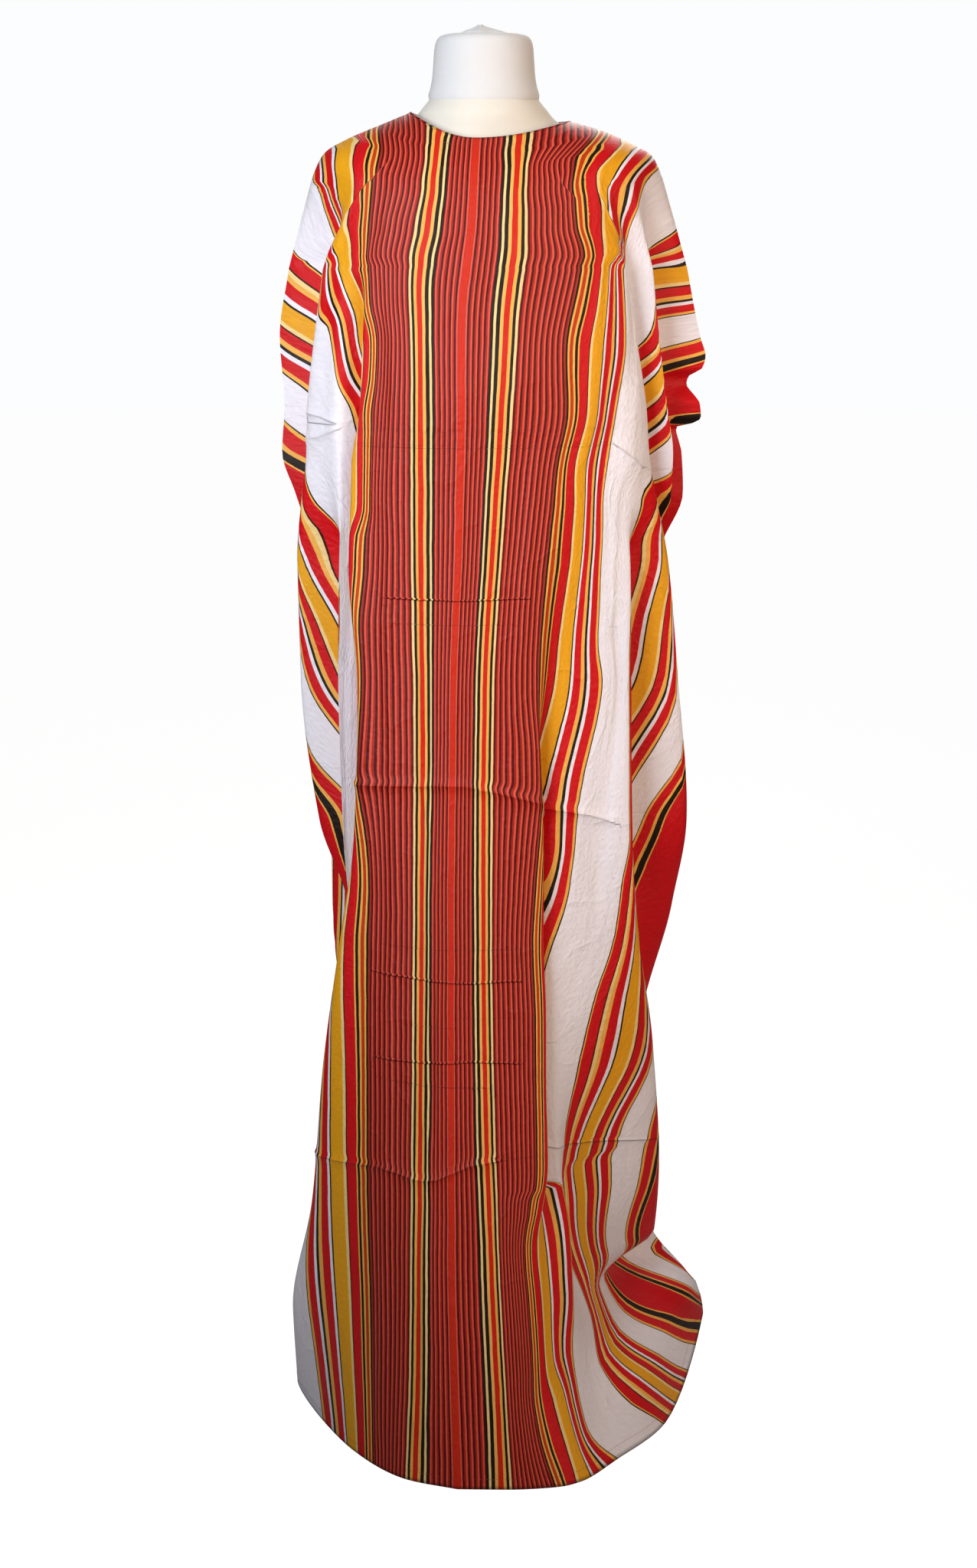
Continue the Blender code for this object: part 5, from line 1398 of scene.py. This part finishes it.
class BaatiForm(bpy.types.PropertyGroup):
    """Sizes and colours of the dress form and its stand."""

    neck_seam: FloatProperty(
        name="Neck seam", description="Height of the neck cover's seam", unit="LENGTH",
        default=1.521)
    shoulder_drop: FloatProperty(
        name="Shoulder drop", description="How far the shoulders lie under the cloth",
        unit="LENGTH", default=0.0031)
    cover: FloatVectorProperty(
        name="Torso cover", description="Colour of the torso's cover", subtype="COLOR", size=3,
        min=0.0, max=1.0, default=dye(238, 235, 224))
    neck_cover: FloatVectorProperty(
        name="Neck cover", description="Colour of the neck's cover", subtype="COLOR", size=3,
        min=0.0, max=1.0, default=dye(232, 234, 236))
    steel: FloatVectorProperty(
        name="Stand", description="Colour of the stand's paint", subtype="COLOR", size=3,
        min=0.0, max=1.0, default=dye(222, 222, 220))


class BaatiStage(bpy.types.PropertyGroup):
    """Light and floor."""

    key_power: FloatProperty(
        name="Key light", description="Power of the cool light from the upper left", unit="POWER",
        default=8.5, min=0.0)
    fill_power: FloatProperty(
        name="Fill light", description="Power of the warm light from the right", unit="POWER",
        default=9.5, min=0.0)
    top_power: FloatProperty(
        name="Top light", description="Power of the light above the shoulders", unit="POWER",
        default=0.6, min=0.0)
    sky: FloatProperty(
        name="Sky", description="Strength of the even light from all around", default=0.11,
        min=0.0)
    floor: FloatVectorProperty(
        name="Floor", description="Colour of the floor", subtype="COLOR", size=3, min=0.0,
        max=1.0, default=(0.34, 0.34, 0.34))


class MESH_OT_baati_materials(bpy.types.Operator):
    """Make the shared effects and the materials of all pieces"""

    bl_idname = "mesh.baati_materials"
    bl_label = "Baati materials"

    def execute(self, context):
        form = context.scene.baati_form
        make_weave_group()
        make_mottle_group()
        striped_satin("striped satin")
        # The rolled neck edge: the same satin at 0.62 of its brightness, as painted shade under the
        # roll.
        striped_satin("rolled edge", 0.62)
        knit_cover("torso cover", tuple(form.cover), 0.0012, 0.10)
        knit_cover("neck cover", tuple(form.neck_cover), 0.0010, 0.08)
        painted_steel("painted steel", tuple(form.steel))
        tree, shader = plain_shader("red thread", dye(150, 16, 18), 0.55, 0.3)[1:]
        place = shader_node(tree, "ShaderNodeTexCoord").outputs["Object"]
        cloud = place_group(tree, "soft mottling", {"Place": place, "Size": 0.004})
        rough = maths(tree, "MULTIPLY_ADD", cloud.outputs["Fine"], 0.3, 0.4)
        tree.links.new(rough, shader.inputs["Roughness"])
        return {"FINISHED"}


class MESH_OT_baati_panels(bpy.types.Operator):
    """Make the front and back cloth of the dress, with folds, tucks and creases"""

    bl_idname = "mesh.baati_panels"
    bl_label = "Baati cloth"

    def execute(self, context):
        levels, front, front_normal, back, back_normal = panel_grids()
        cloth = front[:, :, 3]
        level = np.broadcast_to(levels[:, None], cloth.shape)
        signed, hidden = tuck_distance(cloth, level)
        tuck = np.stack([signed, hidden, crease_distance(cloth, level)], axis=2)
        lap = LAP_HEIGHT * hidden * np.tanh(signed / LAP_WIDTH)
        height = crease_height(cloth, level) * context.scene.baati_cloth.crease_share + lap
        front[:, :, :3] += front_normal * (height * edge_fade(front))[..., None]
        shown = put_cloth("front_cloth", front, front_normal, levels, tuck)
        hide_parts("front_panel")
        plain = np.tile(NO_TUCK, back.shape[:2] + (1,))
        shown = put_cloth("back_cloth", back, back_normal, levels, plain, turned=True)
        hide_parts("back_panel")
        return {"FINISHED"}


class MESH_OT_baati_neck_edge(bpy.types.Operator):
    """Make the rolled edge round the neckline"""

    bl_idname = "mesh.baati_neck_edge"
    bl_label = "Baati neck edge"

    def execute(self, context):
        roll = context.scene.baati_cloth.neck_roll
        levels, front, front_normal, back, back_normal = panel_grids()
        ring = np.concatenate([front[-1], back[-1, -2:0:-1]])
        out = np.concatenate([front_normal[-1], back_normal[-1, -2:0:-1]])
        path = ring[:, :3] - out * ROLL_SINK
        ahead = unit(np.roll(path, -1, axis=0) - np.roll(path, 1, axis=0))
        side = unit(np.cross(out, ahead))
        points, faces = closed_tube(path, side, out, roll, roll * 0.7)
        place = np.column_stack([
            np.repeat(ring[:, 3] + 0.5, ROLL_SIDES), np.full(len(points), NECKLINE / LEVEL_SPAN)])
        tuck = np.tile(NO_TUCK, (len(points), 1))
        shown = put_mesh("neck_edge", points, faces, bpy.data.materials["rolled edge"], place, tuck)
        return {"FINISHED"}


class MESH_OT_baati_sewing(bpy.types.Operator):
    """Make the stitches of the hem and the neckline"""

    bl_idname = "mesh.baati_sewing"
    bl_label = "Baati sewing"

    def execute(self, context):
        sizes = context.scene.baati_cloth
        levels, front, front_normal, back, back_normal = panel_grids()
        hem = int(np.argmin(np.abs(levels - sizes.hem_depth)))
        runs = []
        for grid, normal in ((front, front_normal), (back, back_normal)):
            for row, radius in ((hem, HEM_THREAD), (len(levels) - 3, NECK_THREAD)):
                out = normal[row, 2:-2]
                path = grid[row, 2:-2, :3] + out * THREAD_LIFT
                runs.append(stitches(path, out, sizes.stitch_length, radius))
        points, faces = join(runs)
        shown = put_mesh("sewing", points, faces, bpy.data.materials["red thread"])
        return {"FINISHED"}


class MESH_OT_baati_form(bpy.types.Operator):
    """Make the dress form's torso, neck cover and the gathered tip on top"""

    bl_idname = "mesh.baati_form"
    bl_label = "Dress form"

    def execute(self, context):
        form = context.scene.baati_form
        drop = form.shoulder_drop
        seam = form.neck_seam
        turn = np.linspace(0, 2 * np.pi, FORM_SIDES, endpoint=False)
        # Torso: its sections, the shoulders under the yoke and the foot of the neck.
        rings = [
            oval_ring(turn, 0.0, half, half, front, back, height, height, height)
            for height, half, front, back in reversed(TORSO_SECTIONS)
        ]
        yoke = read_table(YOKE, np.array([row[0] for row in SHOULDER_FILL]))
        for row, fill in reversed(list(zip(yoke, SHOULDER_FILL))):
            rings.append(oval_ring(
                turn, row[4], (row[4] - row[0]) * fill[1], (row[2] - row[4]) * fill[1],
                row[5] * fill[2], row[6] * fill[3], row[1] - drop, row[3] - drop,
                fill[0] - drop))
        rings.append(oval_ring(turn, 0.0, 0.067, 0.067, -0.065, 0.064, 1.511, 1.511, 1.503))
        rings.append(oval_ring(turn, 0.0, 0.0585, 0.0585, -0.058, 0.058, seam, seam, seam))
        rows = np.linspace(0, len(rings) - 1, TORSO_ROWS)
        points, faces = capped(smooth_through(np.arange(len(rings)), np.array(rings), rows))
        shown = put_mesh("torso_cover", points, faces, bpy.data.materials["torso cover"])
        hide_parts("form_torso")
        # Neck cover: its profile turned round, with a leaning seam and a slightly uneven top.
        profile = np.array([
            (seam - 0.0015, 0.0582), (seam + 0.0006, 0.0593), (seam + 0.004, 0.0596),
            *NECK_PROFILE])
        steps = walked(profile)
        rows = smooth_through(steps, profile, np.linspace(0, steps[-1], NECK_ROWS))
        height = rows[:, :1]
        lean = 0.0012 * np.sin(turn) * ease((1.540 - height) / 0.02)
        uneven = 1 + 0.006 * np.sin(5 * turn + 1.0) * ease((height - 1.565) / 0.02)
        radius = rows[:, 1:] * uneven
        points, faces = capped(np.stack([
            radius * np.cos(turn), radius * np.sin(turn), height + lean], axis=2))
        shown = put_mesh("neck_cover", points, faces, bpy.data.materials["neck cover"])
        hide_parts("form_neck")
        # Gathered tip: seven pleats drawn together, a little to the left.
        rise = np.linspace(0, 1, TIP_ROWS)[:, None]
        pleats = 1 + 0.13 * np.sin(7 * turn + 0.6) * (1 - 0.4 * rise) * ease(rise / 0.15 + 0.3)
        radius = (0.0185 * (1 - ease(rise * 0.95)) + 0.0025) * pleats
        points, faces = capped(np.stack([
            radius * np.cos(turn) * 1.12 - 0.004 * rise,
            radius * np.sin(turn) * 0.85,
            1.5876 + 0.0096 * rise**0.8 + 0.0008 * np.sin(3 * turn) * rise], axis=2))
        shown = put_mesh("gathered_tip", points, faces, bpy.data.materials["neck cover"])
        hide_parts("form_knob")
        return {"FINISHED"}


class MESH_OT_baati_stand(bpy.types.Operator):
    """Paint the pole and the base plate"""

    bl_idname = "mesh.baati_stand"
    bl_label = "Stand"

    def execute(self, context):
        for name in ("stand_pole", "stand_base"):
            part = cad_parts[name]
            for slot in part.material_slots:
                slot.material = bpy.data.materials["painted steel"]
        return {"FINISHED"}


class SCENE_OT_baati_stage(bpy.types.Operator):
    """Make the floor, the soft studio lights and the camera"""

    bl_idname = "scene.baati_stage"
    bl_label = "Baati stage"

    def execute(self, context):
        stage = context.scene.baati_stage
        scene = context.scene
        scene.view_settings.view_transform = "Standard"
        turn = np.linspace(0, 2 * np.pi, FLOOR_SIDES, endpoint=False)
        ring = np.column_stack([
            np.cos(turn) * FLOOR_RADIUS, np.sin(turn) * FLOOR_RADIUS,
            np.full(FLOOR_SIDES, FLOOR_LEVEL)])
        mesh = bpy.data.meshes.new("studio_floor")
        mesh.from_pydata(ring.tolist(), [], [list(range(FLOOR_SIDES))])
        floor = bpy.data.objects.new("studio_floor", mesh)
        scene.collection.objects.link(floor)
        material, tree, shader = plain_shader("studio floor", tuple(stage.floor), 0.85)
        shader.inputs["Specular IOR Level"].default_value = 0.1
        shader.inputs["Emission Color"].default_value = (1.0, 1.0, 1.0, 1.0)
        sight = shader_node(tree, "ShaderNodeLightPath")
        glow = maths(tree, "MULTIPLY", sight.outputs["Is Camera Ray"], FLOOR_GLOW)
        tree.links.new(glow, shader.inputs["Emission Strength"])
        mesh.materials.append(material)
        for name, power, size, place, aim, colour in LAMPS:
            lamp = bpy.data.lights.new(name, "AREA")
            lamp.energy = getattr(stage, power)
            lamp.size = size
            lamp.color = colour
            lamp.spread = math.radians(LAMP_SPREAD)
            thing = bpy.data.objects.new(name, lamp)
            thing.location = place
            towards = np.array(aim) - np.array(place)
            flat = math.hypot(towards[0], towards[1])
            heading = math.atan2(towards[1], towards[0]) - math.pi / 2
            thing.rotation_euler = (math.atan2(flat, -towards[2]), 0.0, heading)
            scene.collection.objects.link(thing)
        # World: pale for the camera, faint for the pieces.
        world = bpy.data.worlds.new("studio")
        world.use_nodes = True
        back = world.node_tree.nodes["Background"]
        back.inputs["Color"].default_value = (0.975, 0.98, 0.99, 1.0)
        path = shader_node(world.node_tree, "ShaderNodeLightPath")
        strength = maths(world.node_tree, "MULTIPLY_ADD", path.outputs["Is Camera Ray"],
                         1.0 - stage.sky, stage.sky)
        world.node_tree.links.new(strength, back.inputs["Strength"])
        scene.world = world
        lens = bpy.data.cameras.new("camera")
        lens.sensor_fit = "VERTICAL"
        lens.sensor_height = SENSOR_HEIGHT
        lens.lens = SENSOR_HEIGHT * FOCAL_PIXELS / PHOTO_HEIGHT
        camera = bpy.data.objects.new("camera", lens)
        camera.location = CAMERA_PLACE
        camera.rotation_euler = (math.radians(CAMERA_TILT), 0.0, 0.0)
        scene.collection.objects.link(camera)
        scene.camera = camera
        return {"FINISHED"}


PIECES = (
    MESH_OT_baati_materials, MESH_OT_baati_panels, MESH_OT_baati_neck_edge, MESH_OT_baati_sewing,
    MESH_OT_baati_form, MESH_OT_baati_stand, SCENE_OT_baati_stage,
)
SETTINGS = (
    ("baati_dyes", BaatiDyes), ("baati_cloth", BaatiCloth), ("baati_form", BaatiForm),
    ("baati_stage", BaatiStage),
)


class VIEW3D_PT_baati(bpy.types.Panel):
    """Sizes, colours and pieces of the dress"""

    bl_idname = "VIEW3D_PT_baati"
    bl_label = "Baati dress"
    bl_space_type = "VIEW_3D"
    bl_region_type = "UI"
    bl_category = "Baati"

    def draw(self, context):
        for name, kind in SETTINGS:
            box = self.layout.box()
            box.label(text=kind.__doc__)
            for key in kind.__annotations__:
                box.prop(getattr(context.scene, name), key)
        for piece in PIECES:
            self.layout.operator(piece.bl_idname)


def register():
    """Register the settings, the operators and the panel."""
    for name, kind in SETTINGS:
        bpy.utils.register_class(kind)
        setattr(bpy.types.Scene, name, PointerProperty(type=kind))
    for piece in PIECES:
        bpy.utils.register_class(piece)
    bpy.utils.register_class(VIEW3D_PT_baati)


def unregister():
    """Take back what register did."""
    bpy.utils.unregister_class(VIEW3D_PT_baati)
    for piece in reversed(PIECES):
        bpy.utils.unregister_class(piece)
    for name, kind in reversed(SETTINGS):
        delattr(bpy.types.Scene, name)
        bpy.utils.unregister_class(kind)


def main():
    register()
    bpy.ops.mesh.baati_materials()
    bpy.ops.mesh.baati_panels()
    bpy.ops.mesh.baati_neck_edge()
    bpy.ops.mesh.baati_sewing()
    bpy.ops.mesh.baati_form()
    bpy.ops.mesh.baati_stand()
    bpy.ops.scene.baati_stage()


if __name__ == "__main__":
    main()
